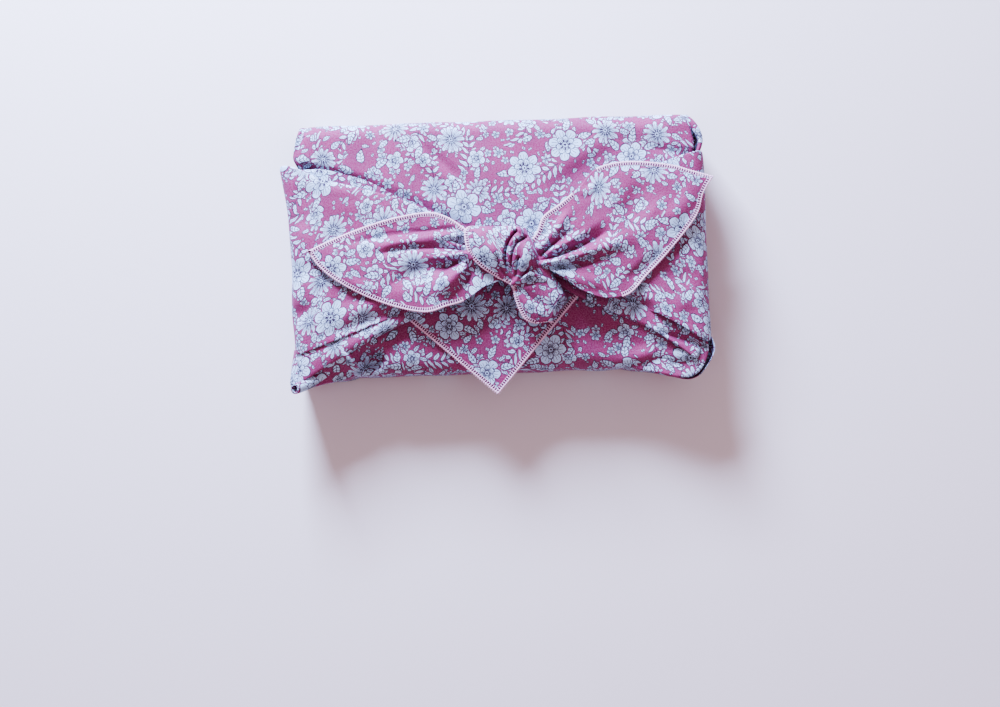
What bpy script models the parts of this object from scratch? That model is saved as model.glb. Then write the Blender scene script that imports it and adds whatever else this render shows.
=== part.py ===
"""Furoshiki wrap: one square cloth folded round a flat box shape and tied on top.

The whole wrap is one sheet of cloth, so it is one solid.  It is worked out in
stretches that follow the cloth from fold to fold: the sleeve that goes round
the long way, the two gathered ends that rise over the short sides, the knot,
and the two free corners.  Every stretch is a grid laid on its folds, given the
cloth's thickness and joined to the next one where the cloth runs on.

Sizes are in millimetres and become metres when a point is placed.
X runs along the wrap, Y from its near side to its far side, Z up.
"""

import math
from collections import namedtuple

import bmesh
import bpy
from mathutils import Vector

# ---------------------------------------------------------------- driving sizes
MM = 0.001
MERGE = 1e-6             # points closer than this are one, in metres
SLOPE_STEP = 0.05        # step along a table, in rows, that gives a stretch's slope

CLOTH = 1.0              # thickness of the cloth as a solid
LAYER = 1.8              # from one folded layer to the next, middle to middle
HEIGHT = 44.0            # top of the sleeve above the surface it rests on
NEAR = -77.5             # outside of the near wall
FAR = 87.5               # outside of the far wall
LEFT = -128.0            # left end of the sleeve
RIGHT = 131.0            # right end of the sleeve
TOP_BEND = 9.0           # bend radius of the long upper edges
LOW_BEND = 6.0           # bend radius of the long lower edges
UNDER_FLAP_END = 58.0    # where the near flap stops, hidden under the far flap
CROWN = 2.0              # rise of the sleeve's top between its long edges
EAR_FOOT = 1.2           # lower edge of the corner folds above the surface
EAR_SWELL_END = 0.9      # share of a corner fold's run where it stops swelling
EAR_SWELL = 0.3          # share of its run over which that swelling dies out
END_DROP = 2.5           # fall of the sleeve's top at its short ends
END_REACH = 16.0         # length over which the top falls at a short end
WALL_BULGE = 1.5         # how far the long walls swell at half height
WALL_DEPTH = 4.0         # how far in from its outside a long wall swells
TOP_SHARE = 0.8          # share of the height above which the cloth is on top
MOUTH_CURVE = 3          # power with which the far corners stand out along the wrap

TIP_X, TIP_Y = -2.0, -93.0   # free corner of the far flap, past the near edge
TIP_LEFT_SLOPE = 0.888       # rise of the flap's left edge away from the corner
TIP_RIGHT_SLOPE = 1.13       # rise of the flap's right edge away from the corner
TIP_DROOP = 2.5              # how far the free corner hangs below the top
TIP_BEND = 16.0              # where it starts to hang, inside the near edge

CENTRE_X, CENTRE_Y = 0.8, -2.0   # middle of the cloth's reach, put at the origin

RISE_FROM, RISE_OVER = 40.0, 8.0   # heights where an end turns onto the top
CORNER_ROW, CORNER_SPAN = 4.2, 1.1   # row of an end's table where it turns, and its reach
FLARE_SHARE = 0.16       # share of an end's width that stands out at its far corner
LEFT_FLARE = 7.0         # how far the left end's far corner stands out
RIGHT_FLARE = 1.0        # how far the right end's far corner stands out
LEFT_DOME = 1.2          # how far the left free corner's middle stands off
RIGHT_DOME = 1.6         # how far the right free corner's middle stands off
DOME_END = 1.15          # the dome ends this share sooner than the run
ARCH_CREST, ARCH_POWER = 1.1, 2.2   # where the knot's arch is highest, and how round
PLEAT_START = 0.25       # share of a pleat's run over which it rises
PLEAT_END = 0.45         # share of a pleat's run over which it dies out
HEM_RISE = 3.0           # how fast a pleat grows away from a free corner's hems

SLEEVE_COLUMNS = 12       # steps along the sleeve
FLAP_ROWS = 12           # steps of the outer flap, from the far bend to its edge

COLOUR = (0.68, 0.22, 0.42, 1.0)
ROUGHNESS = 0.85

# ------------------------------------------------------------------ fold tables
# A section of a gathered end, from the bottom of the short side to the knot:
# the middle line's place (x, z) and the far and near folds of that section (y).
Section = namedtuple("Section", "x z far near")

LEFT_END = (
    Section(-124.5, 1.1, 56, -74),
    Section(-129.8, 3.0, 57, -76),
    Section(-132.9, 11.0, 58, -78),
    Section(-133.8, 26.0, 59, -80),
    Section(-133.4, 40.0, 60, -81),
    Section(-128.0, 48.4, 57, -81),
    Section(-112.0, 50.6, 50, -72),
    Section(-92.0, 51.2, 44, -61),
    Section(-72.0, 51.8, 38, -51),
    Section(-54.0, 52.4, 31, -43),
    Section(-38.0, 53.2, 23, -36),
    Section(-22.0, 53.8, 13, -26),
    Section(2.0, 54.8, 2, -13),
)
RIGHT_END = (
    Section(127.5, 1.1, 58, -72),
    Section(133.2, 3.0, 59, -74),
    Section(136.6, 11.0, 60, -76),
    Section(137.4, 26.0, 61, -78),
    Section(137.2, 40.0, 61, -79),
    Section(131.6, 48.4, 60, -79),
    Section(116.0, 50.6, 55, -67),
    Section(98.0, 51.2, 48, -55),
    Section(82.0, 51.8, 41, -47),
    Section(66.0, 52.4, 33, -39),
    Section(50.0, 53.2, 24, -31),
    Section(34.0, 53.8, 14, -22),
    Section(14.0, 54.8, 4, -13),
)

# The sleeve's open far corners: where its two ends stand at each y.
Mouth = namedtuple("Mouth", "y left right")

MOUTHS = (
    Mouth(40.0, LEFT, RIGHT),
    Mouth(58.0, LEFT, RIGHT),
    Mouth(66.0, -131.5, 136.0),
    Mouth(74.0, -132.0, 137.5),
    Mouth(82.0, -130.0, 134.0),
    Mouth(90.0, -127.0, 129.5),
)

# Folds across a gathered end: the share of the way from the far fold to the
# near fold, and how many layers below the main panel the cloth lies there.
Turn = namedtuple("Turn", "across layer")

LEFT_TURNS = (
    Turn(0.100, -1.0), Turn(0.050, -1.0), Turn(0.012, -0.95), Turn(0.000, -0.5),
    Turn(0.012, -0.05), Turn(0.070, 0.1), Turn(0.180, 0.2), Turn(0.320, 0.1),
    Turn(0.460, 0.0), Turn(0.590, 0.2), Turn(0.710, 0.3), Turn(0.800, 0.2),
    Turn(0.852, 0.0), Turn(0.866, -0.45), Turn(0.848, -0.95), Turn(0.790, -1.0),
    Turn(0.778, -1.5), Turn(0.795, -2.0), Turn(0.890, -1.95), Turn(0.985, -2.0),
    Turn(1.000, -2.5), Turn(0.980, -3.0), Turn(0.900, -3.0),
)
RIGHT_TURNS = (
    Turn(0.100, -1.0), Turn(0.050, -1.0), Turn(0.012, -0.95), Turn(0.000, -0.5),
    Turn(0.012, -0.05), Turn(0.070, 0.1), Turn(0.180, 0.1), Turn(0.320, 0.2),
    Turn(0.460, 0.1), Turn(0.590, 0.0), Turn(0.710, -0.1), Turn(0.800, 0.1),
    Turn(0.872, 0.1), Turn(0.886, -0.40), Turn(0.868, -0.9), Turn(0.800, -1.0),
    Turn(0.788, -1.5), Turn(0.805, -2.0), Turn(0.890, -1.95), Turn(0.985, -2.0),
    Turn(1.000, -2.5), Turn(0.980, -3.0), Turn(0.900, -3.0),
)

# A free corner, by distance along its two hemmed edges from the very corner.
Spread = namedtuple("Spread", "run upper_x upper_y upper_z lower_x lower_y lower_z")

LEFT_TAIL = (
    Spread(0, -121, 2, 53.5, -121, 2, 53.5),
    Spread(12, -110, 7, 54.2, -114, -8, 54.0),
    Spread(26, -97, 12, 54.6, -103, -17.5, 54.3),
    Spread(46, -79, 18, 55.0, -85, -28, 54.6),
    Spread(66, -60, 22.5, 55.4, -65, -36, 55.0),
    Spread(85, -42, 24, 56.2, -46, -40, 55.6),
    Spread(98, -30, 20, 57.0, -33, -37, 56.6),
    Spread(110, -19, 12, 57.6, -23, -29, 57.4),
    Spread(122, -8, 5, 58.2, -9, -18, 58.0),
    Spread(134, 4, -1, 58.6, 4, -10, 58.4),
)
RIGHT_TAIL = (
    Spread(0, 142, 42, 52.8, 142, 42, 52.8),
    Spread(15, 128, 49, 54.0, 135.5, 29, 53.6),
    Spread(30, 113, 52, 54.8, 128, 16, 54.4),
    Spread(57, 86, 54, 55.4, 112, -6, 55.0),
    Spread(78, 66, 49, 55.8, 98, -22, 55.4),
    Spread(95, 55, 37, 56.2, 84, -33, 55.6),
    Spread(112, 43, 27, 57.0, 68, -35, 56.0),
    Spread(128, 31, 18, 58.4, 52, -29, 57.6),
    Spread(142, 26, 7, 59.2, 40, -20, 58.4),
    Spread(160, 17, -3, 59.0, 18, -10, 58.6),
)

# The stretch that goes over the knot and flares into its blunt lower end.
Wrap = namedtuple("Wrap", "left_x left_y right_x right_y z arch")

KNOT_WRAP = (
    Wrap(3, -4, 13, -3, 57.0, 0.0),
    Wrap(-4, 6, 15, 6, 57.0, 0.2),
    Wrap(-14, 13, 18, 12, 61.0, 1.5),
    Wrap(-19, 11, 21, 8, 67.0, 4.5),
    Wrap(-19, 4, 24, 2, 69.3, 6.0),
    Wrap(-17, -5, 26.5, -5, 69.8, 6.0),
    Wrap(-10, -13, 28, -11, 68.0, 5.0),
    Wrap(0, -20, 28, -15.5, 65.4, 3.5),
    Wrap(9, -25.5, 28, -19, 63.0, 2.0),
    Wrap(11, -33, 36.5, -24, 61.6, 2.0),
    Wrap(14, -42, 43.5, -32, 60.2, 2.5),
    Wrap(19, -47.5, 37.5, -42, 58.2, 2.0),
    Wrap(24, -49.5, 31, -47.5, 56.0, 0.8),
    Wrap(22, -45.5, 34, -41, 54.4, 0.5),
    Wrap(18, -36, 34, -31, 54.0, 0.3),
    Wrap(14, -24, 28, -20, 54.6, 0.2),
    Wrap(12, -12, 22, -11, 56.0, 0.0),
)

# The cloth gathered inside the knot, by height: half widths of a rounded lump.
CORE_X, CORE_Y, CORE_Z = 9.0, -5.0, 58.0
CORE_WIDE, CORE_DEEP, CORE_TALL = 17.5, 13.5, 8.0
CORE_SIDES, CORE_RINGS = 18, 9

# A pointed fold of cloth standing round a near corner: its line at the top and
# at the bottom of the corner, both from the near wall to the short side.
Stand = namedtuple("Stand", "top_x top_y top_z low_x low_y")

LEFT_EAR = (
    Stand(-99, -75.4, 36.0, -99, -75.4),
    Stand(-105, -78.6, 38.0, -105, -78.6),
    Stand(-116, -80.6, 41.0, -115, -79.2),
    Stand(-127, -85.4, 43.5, -124, -80.0),
    Stand(-134, -88.0, 43.5, -130.5, -79.0),
    Stand(-137.2, -84.0, 42.0, -133.0, -75.0),
    Stand(-135.4, -75.0, 39.5, -132.6, -68.0),
    Stand(-132.0, -60.0, 36.0, -131.6, -59.0),
)
RIGHT_EAR = (
    Stand(80, -75.4, 36.0, 80, -75.4),
    Stand(87, -78.6, 38.5, 87, -78.6),
    Stand(104, -82.4, 42.0, 103, -79.4),
    Stand(118, -87.4, 43.6, 116, -80.2),
    Stand(128, -87.4, 43.6, 127, -80.2),
    Stand(136, -81.5, 42.6, 134.0, -76.0),
    Stand(139.4, -73.5, 40.0, 136.6, -69.0),
    Stand(135.6, -61.5, 36.0, 135.2, -60.5),
)

# Soft ridges (height above zero) and troughs (below), each along a short line.
Fold = namedtuple("Fold", "x0 y0 x1 y1 height width")

FAR_FLAP_FOLDS = (
    Fold(-62, 70, -20, 26, 1.6, 9),
    Fold(-12, 70, 2, 26, 0.9, 12),
    Fold(60, 76, 120, 70, 0.8, 8),
)
NEAR_PANEL_FOLDS = (
    Fold(-84, -70, -76, -62, -2.2, 12),
    Fold(96, -72, 118, -66, -1.2, 9),
)
LEFT_END_CREASES = (
    Fold(-108, -30, -70, -26, -1.1, 9),
    Fold(-118, 30, -60, 16, 0.8, 14),
)
RIGHT_END_CREASES = (
    Fold(84, -40, 118, -34, -1.4, 10),
    Fold(120, 24, 128, -20, 0.8, 10),
)

# A pleat running out of the knot: the share of the way across the cloth where
# it starts and ends, its height, its half width as a share, and its two ends
# as shares of the run.
Pleat = namedtuple("Pleat", "start end height width begins stops")

LEFT_TAIL_PLEATS = (
    Pleat(0.30, 0.34, 3.4, 0.20, 1.00, 0.25),
    Pleat(0.12, 0.14, -1.2, 0.11, 1.00, 0.35),
    Pleat(0.52, 0.56, -1.6, 0.16, 1.00, 0.45),
    Pleat(0.74, 0.80, 3.2, 0.17, 1.00, 0.50),
)
RIGHT_TAIL_PLEATS = (
    Pleat(0.20, 0.16, 3.4, 0.17, 1.00, 0.40),
    Pleat(0.40, 0.36, 2.2, 0.12, 1.00, 0.62),
    Pleat(0.52, 0.42, -3.4, 0.13, 1.00, 0.36),
    Pleat(0.68, 0.66, 3.4, 0.18, 1.00, 0.30),
    Pleat(0.88, 0.90, -1.2, 0.10, 1.00, 0.60),
)
WRAP_PLEATS = (
    Pleat(0.56, 0.30, -1.6, 0.060, 0.10, 0.62),
    Pleat(0.66, 0.46, -1.6, 0.055, 0.10, 0.62),
    Pleat(0.76, 0.62, -1.4, 0.055, 0.12, 0.60),
    Pleat(0.40, 0.14, 0.8, 0.090, 0.22, 0.60),
)

# ------------------------------------------------------------------ small maths


def ease(t):
    """Go from 0 to 1 with level ends."""
    t = min(max(t, 0.0), 1.0)
    return t * t * (3.0 - 2.0 * t)


def between(rows, column, place):
    """Read one column of a table at a place between rows, on a smooth curve."""
    last = len(rows) - 1
    place = min(max(place, 0.0), float(last))
    i = min(int(place), last - 1)
    t = place - i
    p1 = getattr(rows[i], column)
    p2 = getattr(rows[i + 1], column)
    p0 = getattr(rows[i - 1], column) if i > 0 else 2 * p1 - p2
    p3 = getattr(rows[i + 2], column) if i + 2 <= last else 2 * p2 - p1
    curve = (p2 - p0) * t
    curve += (2 * p0 - 5 * p1 + 4 * p2 - p3) * t * t
    curve += (3 * p1 - p0 - 3 * p2 + p3) * t ** 3
    return p1 + 0.5 * curve


def lift(x, y, folds):
    """Add up the ridges and troughs that reach a point of a sheet."""
    total = 0.0
    for fold in folds:
        along = Vector((fold.x1 - fold.x0, fold.y1 - fold.y0))
        to_point = Vector((x - fold.x0, y - fold.y0))
        share = min(max(to_point.dot(along) / along.length_squared, 0.0), 1.0)
        away = (to_point - along * share).length / fold.width
        if away < 1.0:
            total += fold.height * (1.0 - away * away) ** 2
    return total


def pleat_lift(u, v, pleats):
    """Add up the pleats that reach a point, by its shares along and across."""
    total = 0.0
    for pleat in pleats:
        share = (u - pleat.begins) / (pleat.stops - pleat.begins)
        if not -PLEAT_START < share < 1.0:
            continue
        middle = pleat.start + (pleat.end - pleat.start) * share
        away = abs(v - middle) / pleat.width
        if away < 1.0:
            fade = ease((1.0 - share) / PLEAT_END) * ease(1.0 + share / PLEAT_START)
            total += pleat.height * fade * (1.0 - away * away) ** 2
    return total


# --------------------------------------------------------------------- stretches


def top_of_sleeve(x, y):
    """How far the sleeve's top rises or falls from level at a point."""
    middle = 0.5 * (NEAR + FAR)
    half = 0.5 * (FAR - NEAR)
    rise = CROWN * (1.0 - ((y - middle) / half) ** 2)
    end = max(1.0 + (LEFT - x) / END_REACH, 1.0 + (x - RIGHT) / END_REACH, 0.0)
    return rise - END_DROP * min(end, 1.0) ** 2


def steps(start, end, count, first=1):
    """Even steps from a start to an end value."""
    return [start + (end - start) * i / count for i in range(first, count + 1)]


def sleeve_path(flap_edge):
    """Points (y, z, layer) of the sleeve's section, from its hidden end to the flap.

    Layer is 1 on the outer flap, 0 on the near panel and its hidden end.
    """
    half = CLOTH / 2
    outer = HEIGHT - half
    inner = outer - LAYER
    near = NEAR + half
    far = FAR - half
    low = half + LOW_BEND
    turns = [(math.sin(a), 1 - math.cos(a)) for a in steps(0.0, math.pi / 2, 3)]
    path = [(y, inner, 0) for y in steps(UNDER_FLAP_END, near + TOP_BEND, 7, first=0)]
    path += [(near + TOP_BEND * (1 - s), inner - TOP_BEND * c, 0) for s, c in turns]
    path += [(near, z, 0) for z in steps(inner - TOP_BEND, low, 3)]
    path += [(near + LOW_BEND * c, half + LOW_BEND * (1 - s), 0) for s, c in turns]
    path += [(y, half, 0) for y in steps(near + LOW_BEND, far - LOW_BEND, 4)]
    path += [(far - LOW_BEND * (1 - s), half + LOW_BEND * c, 0) for s, c in turns]
    path += [(far, z, 1) for z in steps(low, outer - TOP_BEND, 3)]
    path += [(far - TOP_BEND * c, outer - TOP_BEND * (1 - s), 1) for s, c in turns]
    path += [(y, outer, 1) for y in steps(far - TOP_BEND, flap_edge, FLAP_ROWS)]
    return path


SLEEVE_ROWS = len(sleeve_path(0.0)) - 1


def sleeve(u, v):
    """Place a point of the sleeve: u along the wrap, v round its section."""
    if u < 0.5:
        x = LEFT + (TIP_X - LEFT) * u * 2
        edge = TIP_Y + TIP_LEFT_SLOPE * (TIP_X - x)
    else:
        x = TIP_X + (RIGHT - TIP_X) * (u - 0.5) * 2
        edge = TIP_Y + TIP_RIGHT_SLOPE * (x - TIP_X)
    y, z, layer = sleeve_path(edge)[round(v * SLEEVE_ROWS)]
    share = z / HEIGHT
    rise = top_of_sleeve(x, max(y, NEAR)) * share
    if z > TOP_SHARE * HEIGHT:
        rise += lift(x, y, FAR_FLAP_FOLDS if layer else NEAR_PANEL_FOLDS)
    bend = NEAR + TIP_BEND
    hang = TIP_DROOP * ease((bend - y) / (bend - TIP_Y)) if layer else 0.0
    swell = WALL_BULGE * math.sin(math.pi * share)
    if y > FAR - WALL_DEPTH:
        y += swell
    elif NEAR <= y < NEAR + WALL_DEPTH:
        y -= swell
    row = (y - MOUTHS[1].y) / (MOUTHS[2].y - MOUTHS[1].y) + 1.0
    side, end = ("left", LEFT) if x < 0 else ("right", RIGHT)
    reach = between(MOUTHS, side, max(row, 1.0)) - end
    x += reach * abs(x / end) ** MOUTH_CURVE
    return x, y, z + rise - hang


def reading(rows, place):
    """Read every column of a table at a place between rows."""
    return [between(rows, column, place) for column in rows[0]._fields]


def gathered_end(u, v, sections, turns, creases, flare):
    """Place a point of a gathered end: u from the bottom to the knot, v across."""
    place = u * (len(sections) - 1)
    x, z, far, near = reading(sections, place)
    ahead = Vector(reading(sections, place + SLOPE_STEP)[:2])
    behind = Vector(reading(sections, place - SLOPE_STEP)[:2])
    run = (ahead - behind).normalized()
    side = 1.0 if sections[0].x < 0 else -1.0
    out = Vector((-run.y, run.x)) * side
    across, layer = reading(turns, v * (len(turns) - 1))
    depth = layer * LAYER
    y = far + (near - far) * across
    if depth > -LAYER:
        depth += lift(x, y, creases) * ease((z - RISE_FROM) / RISE_OVER)
    point = Vector((x, z)) + out * depth
    corner = math.exp(-((place - CORNER_ROW) / CORNER_SPAN) ** 2)
    point.x -= side * flare * corner * ease(1.0 - across / FLARE_SHARE)
    return point.x, y, point.y


def left_end(u, v):
    """The end that rises over the left short side."""
    return gathered_end(u, v, LEFT_END, LEFT_TURNS, LEFT_END_CREASES, LEFT_FLARE)


def right_end(u, v):
    """The end that rises over the right short side."""
    return gathered_end(u, v, RIGHT_END, RIGHT_TURNS, RIGHT_END_CREASES, RIGHT_FLARE)


def free_corner(u, v, spreads, pleats, dome):
    """Place a point of a free corner: u from the very corner to the knot."""
    run = u * spreads[-1].run
    row = next(i for i in range(1, len(spreads)) if run <= spreads[i].run + MERGE)
    before, after = spreads[row - 1].run, spreads[row].run
    edges = reading(spreads, row - 1 + (run - before) / (after - before))
    point = Vector(edges[1:4]).lerp(Vector(edges[4:7]), v)
    middle = math.sin(math.pi * v)
    away = math.sin(math.pi * min(u * DOME_END, 1.0))
    point.z += middle * dome * away + pleat_lift(u, v, pleats) * min(1.0, HEM_RISE * middle)
    return tuple(point)


def left_tail(u, v):
    """The free corner that points to the left."""
    return free_corner(u, v, LEFT_TAIL, LEFT_TAIL_PLEATS, LEFT_DOME)


def right_tail(u, v):
    """The free corner that points to the far right."""
    return free_corner(u, v, RIGHT_TAIL, RIGHT_TAIL_PLEATS, RIGHT_DOME)


def knot_wrap(u, v):
    """Place a point of the stretch over the knot: u far to near, v left to right."""
    place = u * (len(KNOT_WRAP) - 1)
    left_x, left_y, right_x, right_y, z, arch = reading(KNOT_WRAP, place)
    x = left_x + (right_x - left_x) * v
    y = left_y + (right_y - left_y) * v
    z -= arch * abs(2 * v - ARCH_CREST) ** ARCH_POWER
    z += pleat_lift(u, v, WRAP_PLEATS)
    return x, y, z


def ear(u, v, stands):
    """Place a point of a corner fold: u round the corner, v from low to high."""
    top_x, top_y, top_z, low_x, low_y = reading(stands, u * (len(stands) - 1))
    out = ease(v)
    x = low_x + (top_x - low_x) * out
    y = low_y + (top_y - low_y) * out
    z = EAR_FOOT + (top_z - EAR_FOOT) * v
    swell = WALL_BULGE * math.sin(math.pi * z / HEIGHT) * ease((EAR_SWELL_END - u) / EAR_SWELL)
    return x, y - swell, z


def left_ear(u, v):
    """The pointed fold round the near left corner."""
    return ear(u, v, LEFT_EAR)


def right_ear(u, v):
    """The pointed fold round the near right corner."""
    return ear(u, v, RIGHT_EAR)


# ------------------------------------------------------------------- making it
# The stretches joined to the sleeve: name, shape, steps along and steps across.
STRETCHES = (
    ("left_end", left_end, 18, 22),
    ("right_end", right_end, 18, 22),
    ("left_ear", left_ear, 10, 4),
    ("right_ear", right_ear, 10, 4),
    ("left_tail", left_tail, 16, 14),
    ("right_tail", right_tail, 17, 16),
    ("knot_wrap", knot_wrap, 18, 18),
)
CORE_PLACE = 4           # the knot's core joins after the corner folds


def cloth_material():
    """One plain colour for the printed cloth."""
    material = bpy.data.materials.new("printed_cotton_lawn")
    material.use_nodes = True
    shader = material.node_tree.nodes["Principled BSDF"]
    shader.inputs["Base Color"].default_value = COLOUR
    shader.inputs["Roughness"].default_value = ROUGHNESS
    shader.inputs["Metallic"].default_value = 0.0
    return material


def placed(point):
    """Turn millimetres on the wrap into metres round the origin."""
    return Vector((point[0] - CENTRE_X, point[1] - CENTRE_Y, point[2])) * MM


def stretch(name, shape, columns, rows, collection):
    """Lay a grid on a stretch's folds and give it the cloth's thickness."""
    mesh = bpy.data.meshes.new(name)
    bm = bmesh.new()
    bmesh.ops.create_grid(bm, x_segments=columns, y_segments=rows, size=0.5)
    for vert in bm.verts:
        vert.co = placed(shape(vert.co.x + 0.5, vert.co.y + 0.5))
    bmesh.ops.remove_doubles(bm, verts=bm.verts, dist=MERGE)
    bm.to_mesh(mesh)
    bm.free()
    piece = bpy.data.objects.new(name, mesh)
    collection.objects.link(piece)
    wall = piece.modifiers.new("thickness", "SOLIDIFY")
    wall.thickness = CLOTH * MM
    wall.offset = 0.0
    return piece


def gathered_core(collection):
    """The cloth packed inside the knot, a rounded lump that all stretches enter."""
    mesh = bpy.data.meshes.new("knot_core")
    bm = bmesh.new()
    bmesh.ops.create_uvsphere(bm, u_segments=CORE_SIDES, v_segments=CORE_RINGS, radius=1.0)
    for vert in bm.verts:
        x, y, z = vert.co
        vert.co = placed((CORE_X + x * CORE_WIDE, CORE_Y + y * CORE_DEEP,
                          CORE_Z + z * CORE_TALL))
    bm.to_mesh(mesh)
    bm.free()
    piece = bpy.data.objects.new("knot_core", mesh)
    collection.objects.link(piece)
    return piece


def join_all(base, others):
    """Join each stretch to the base and hide the stretch."""
    for other in others:
        joint = base.modifiers.new("join_" + other.name, "BOOLEAN")
        joint.operation = "UNION"
        joint.solver = "EXACT"
        joint.object = other
        other.hide_render = True
        other.display_type = "WIRE"


def build():
    """Make every stretch of the cloth and join them into one solid."""
    for old in list(bpy.data.objects):
        bpy.data.objects.remove(old, do_unlink=True)
    wrap = bpy.data.collections.new("furoshiki_wrap")
    stretches = bpy.data.collections.new("stretches")
    for collection in (wrap, stretches):
        bpy.context.scene.collection.children.link(collection)

    cloth = stretch("furoshiki_cloth", sleeve, SLEEVE_COLUMNS, SLEEVE_ROWS, wrap)
    cloth.data.materials.append(cloth_material())
    others = [stretch(*row, stretches) for row in STRETCHES]
    others.insert(CORE_PLACE, gathered_core(stretches))
    join_all(cloth, others)


build()
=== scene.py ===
"""Dress the furoshiki wrap: thin printed cotton, its folds, its knot and its overlock seam.

The cloth is laid in stretches that follow it from fold to fold.  Each stretch is a fine
grid moved onto its folds, with the print carried in the cloth's own flat measure.
Tables are in millimetres on the wrap; a placed point is in metres round the origin.
"""

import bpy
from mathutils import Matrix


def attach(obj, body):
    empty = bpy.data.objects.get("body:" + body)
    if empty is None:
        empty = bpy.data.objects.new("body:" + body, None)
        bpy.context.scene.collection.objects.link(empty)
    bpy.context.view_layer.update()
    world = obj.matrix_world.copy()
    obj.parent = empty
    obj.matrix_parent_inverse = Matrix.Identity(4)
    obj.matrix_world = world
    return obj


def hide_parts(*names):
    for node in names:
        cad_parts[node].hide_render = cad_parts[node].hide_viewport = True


bl_info = {
    "name": "Furoshiki Wrap",
    "version": (1, 0, 0),
    "blender": (4, 5, 0),
    "location": "3D View > Sidebar > Furoshiki",
    "description": "Dresses a knotted wrapping cloth with its folds, print and overlock seam",
    "category": "Object",
}

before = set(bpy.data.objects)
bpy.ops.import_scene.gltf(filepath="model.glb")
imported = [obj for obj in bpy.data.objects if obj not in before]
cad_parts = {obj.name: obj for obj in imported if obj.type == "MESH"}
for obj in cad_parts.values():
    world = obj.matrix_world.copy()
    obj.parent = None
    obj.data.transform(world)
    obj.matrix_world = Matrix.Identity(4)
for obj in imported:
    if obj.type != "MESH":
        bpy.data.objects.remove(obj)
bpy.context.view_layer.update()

import math
from collections import namedtuple
from functools import lru_cache, partial

import bmesh
import bpy
from mathutils import Matrix, Quaternion, Vector, noise

NODE = "furoshiki_cloth"
BODY = "root"
MM = 0.001
MERGE = 1e-6             # points closer than this are one, in metres
CREASE_STEPS = 8         # straight steps in a crease's curve
FADE_IN, FADE_OUT = 0.35, 0.45   # shares of a crease's run over which it fades
WIDE = 7.5               # a trough from this half width on is round, a narrower one sharp
ROUND = 0.35             # share of a sharp trough that is round all the same
HEM_WIDTH = 2.7          # width of the overlock seam
STITCH_PITCH = 1.6       # from one overlock stitch to the next
STITCH_SLANT = 0.15      # how far a stitch leans along the edge
HEM_SAMPLES = 500        # fine steps that measure a hem's length
HEM_PROBE = 0.04         # share of the cloth's width that gives the way in from its edge
LEAST_UP = 0.1           # a loop of thread that stands nearly upright is turned inwards

# ---------------------------------------------------------------- folded sizes
LAYER = 1.8              # from one folded layer to the next
HEIGHT = 44.0            # top of the sleeve above the surface it rests on
NEAR = -77.5             # outside of the near wall
FAR = 87.5               # outside of the far wall
LEFT = -128.0            # left end of the sleeve
RIGHT = 131.0            # right end of the sleeve
SKIN = 0.5               # from the solid's outer face to the middle of the thin cloth
TOP_BEND = 9.0           # bend radius of the long upper edges
LOW_BEND = 6.0           # bend radius of the long lower edges
UNDER_FLAP_END = 58.0    # where the near flap stops, hidden under the far flap
# steps of the sleeve's grid: on its hidden flap, bends, walls, underside and outer flap
UNDER_STEPS, BEND_STEPS, WALL_STEPS, BASE_STEPS, FLAP_STEPS = 50, 7, 8, 20, 80
CROWN = 2.0              # rise of the sleeve's top between its long edges
END_DROP = 2.5           # fall of the sleeve's top at its short ends
END_REACH = 16.0         # length over which the top falls at a short end
NEAR_FALL = 2.0          # extra fall of the top towards its near edge
TOP_SHARE = 0.8          # share of the height above which the cloth is on top
WALL_BULGE = 1.5         # how far the long walls swell at half height
WALL_DEPTH = 4.0         # how far in from its outside a long wall swells
MOUTH_CURVE = 3          # power with which the far corners stand out along the wrap
TIP_X, TIP_Y = -2.0, -93.0   # free corner of the far flap, past the near edge
TIP_LEFT_SLOPE = 0.888       # rise of the flap's left edge away from the corner
TIP_RIGHT_SLOPE = 1.13       # rise of the flap's right edge away from the corner
TIP_DROOP = 2.5              # how far the free corner hangs below the top
TIP_BEND = 16.0              # where it starts to hang, inside the near edge
CENTRE_X, CENTRE_Y = 0.8, -2.0   # middle of the cloth's reach, put at the origin

SLOPE_STEP = 0.05        # step along a table, in rows, that gives a stretch's slope
TOP_ROW = 5              # first row of an end's table that lies on top
RISE_FROM, RISE_OVER = 40.0, 8.0     # heights where an end turns onto the top
CORNER_ROW, CORNER_SPAN = 4.2, 1.1   # row where it turns, and the reach of its corners
FLARE_SHARE, FLARE_CURVE = 0.36, 1.3     # share of an end that flares, and how roundly
POINT_AT, POINT_REACH = 0.84, 0.16   # share across where its near corner stands out
FOLD_AT, FOLD_REACH = 0.86, 0.14     # share across where its lapped fold runs
SLIDE_ROW, SLIDE_OVER = 4.0, 5.0     # rows over which that fold slides to the edge
DRAWN_ROW, DRAWN_OVER = 5.5, 0.6     # rows below which the layer under it draws back
DRAWN_AT = 0.87                      # share across from which it draws back
FOOT_CALM = 0.125        # share of an end's run in which its crumple grows from its foot
BAND_END = 60.0          # past this an off-table point is beyond the end's outer fold

CLEAR = 1.5              # least height of a free corner over the cloth it lies on
DOME_END = 1.15          # a free corner's dome ends this share sooner than its run
CLIMB_FROM, CLIMB_OVER = 0.5, 0.42   # shares of its run over which it climbs to the knot
HEM_CREASE = 0.45        # share of a crease that is left at its hems
HEM_CRUMPLE = 0.4        # share of the crumple that is left there
HEM_RISE = 3.0           # how fast a crease grows away from them
ARCH_CREST, ARCH_CURVE = 1.1, 2.2    # where the knot's arch is highest, and how round
KNOT_COME, KNOT_GO, KNOT_LAST = 2.5, 1.5, 13.5   # rows over which its creases come and go
FACING_TUCK = 4.5        # how far the knot's turned edge dips under the knot
FACING_DROP = 3.0        # and on its other side

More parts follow.
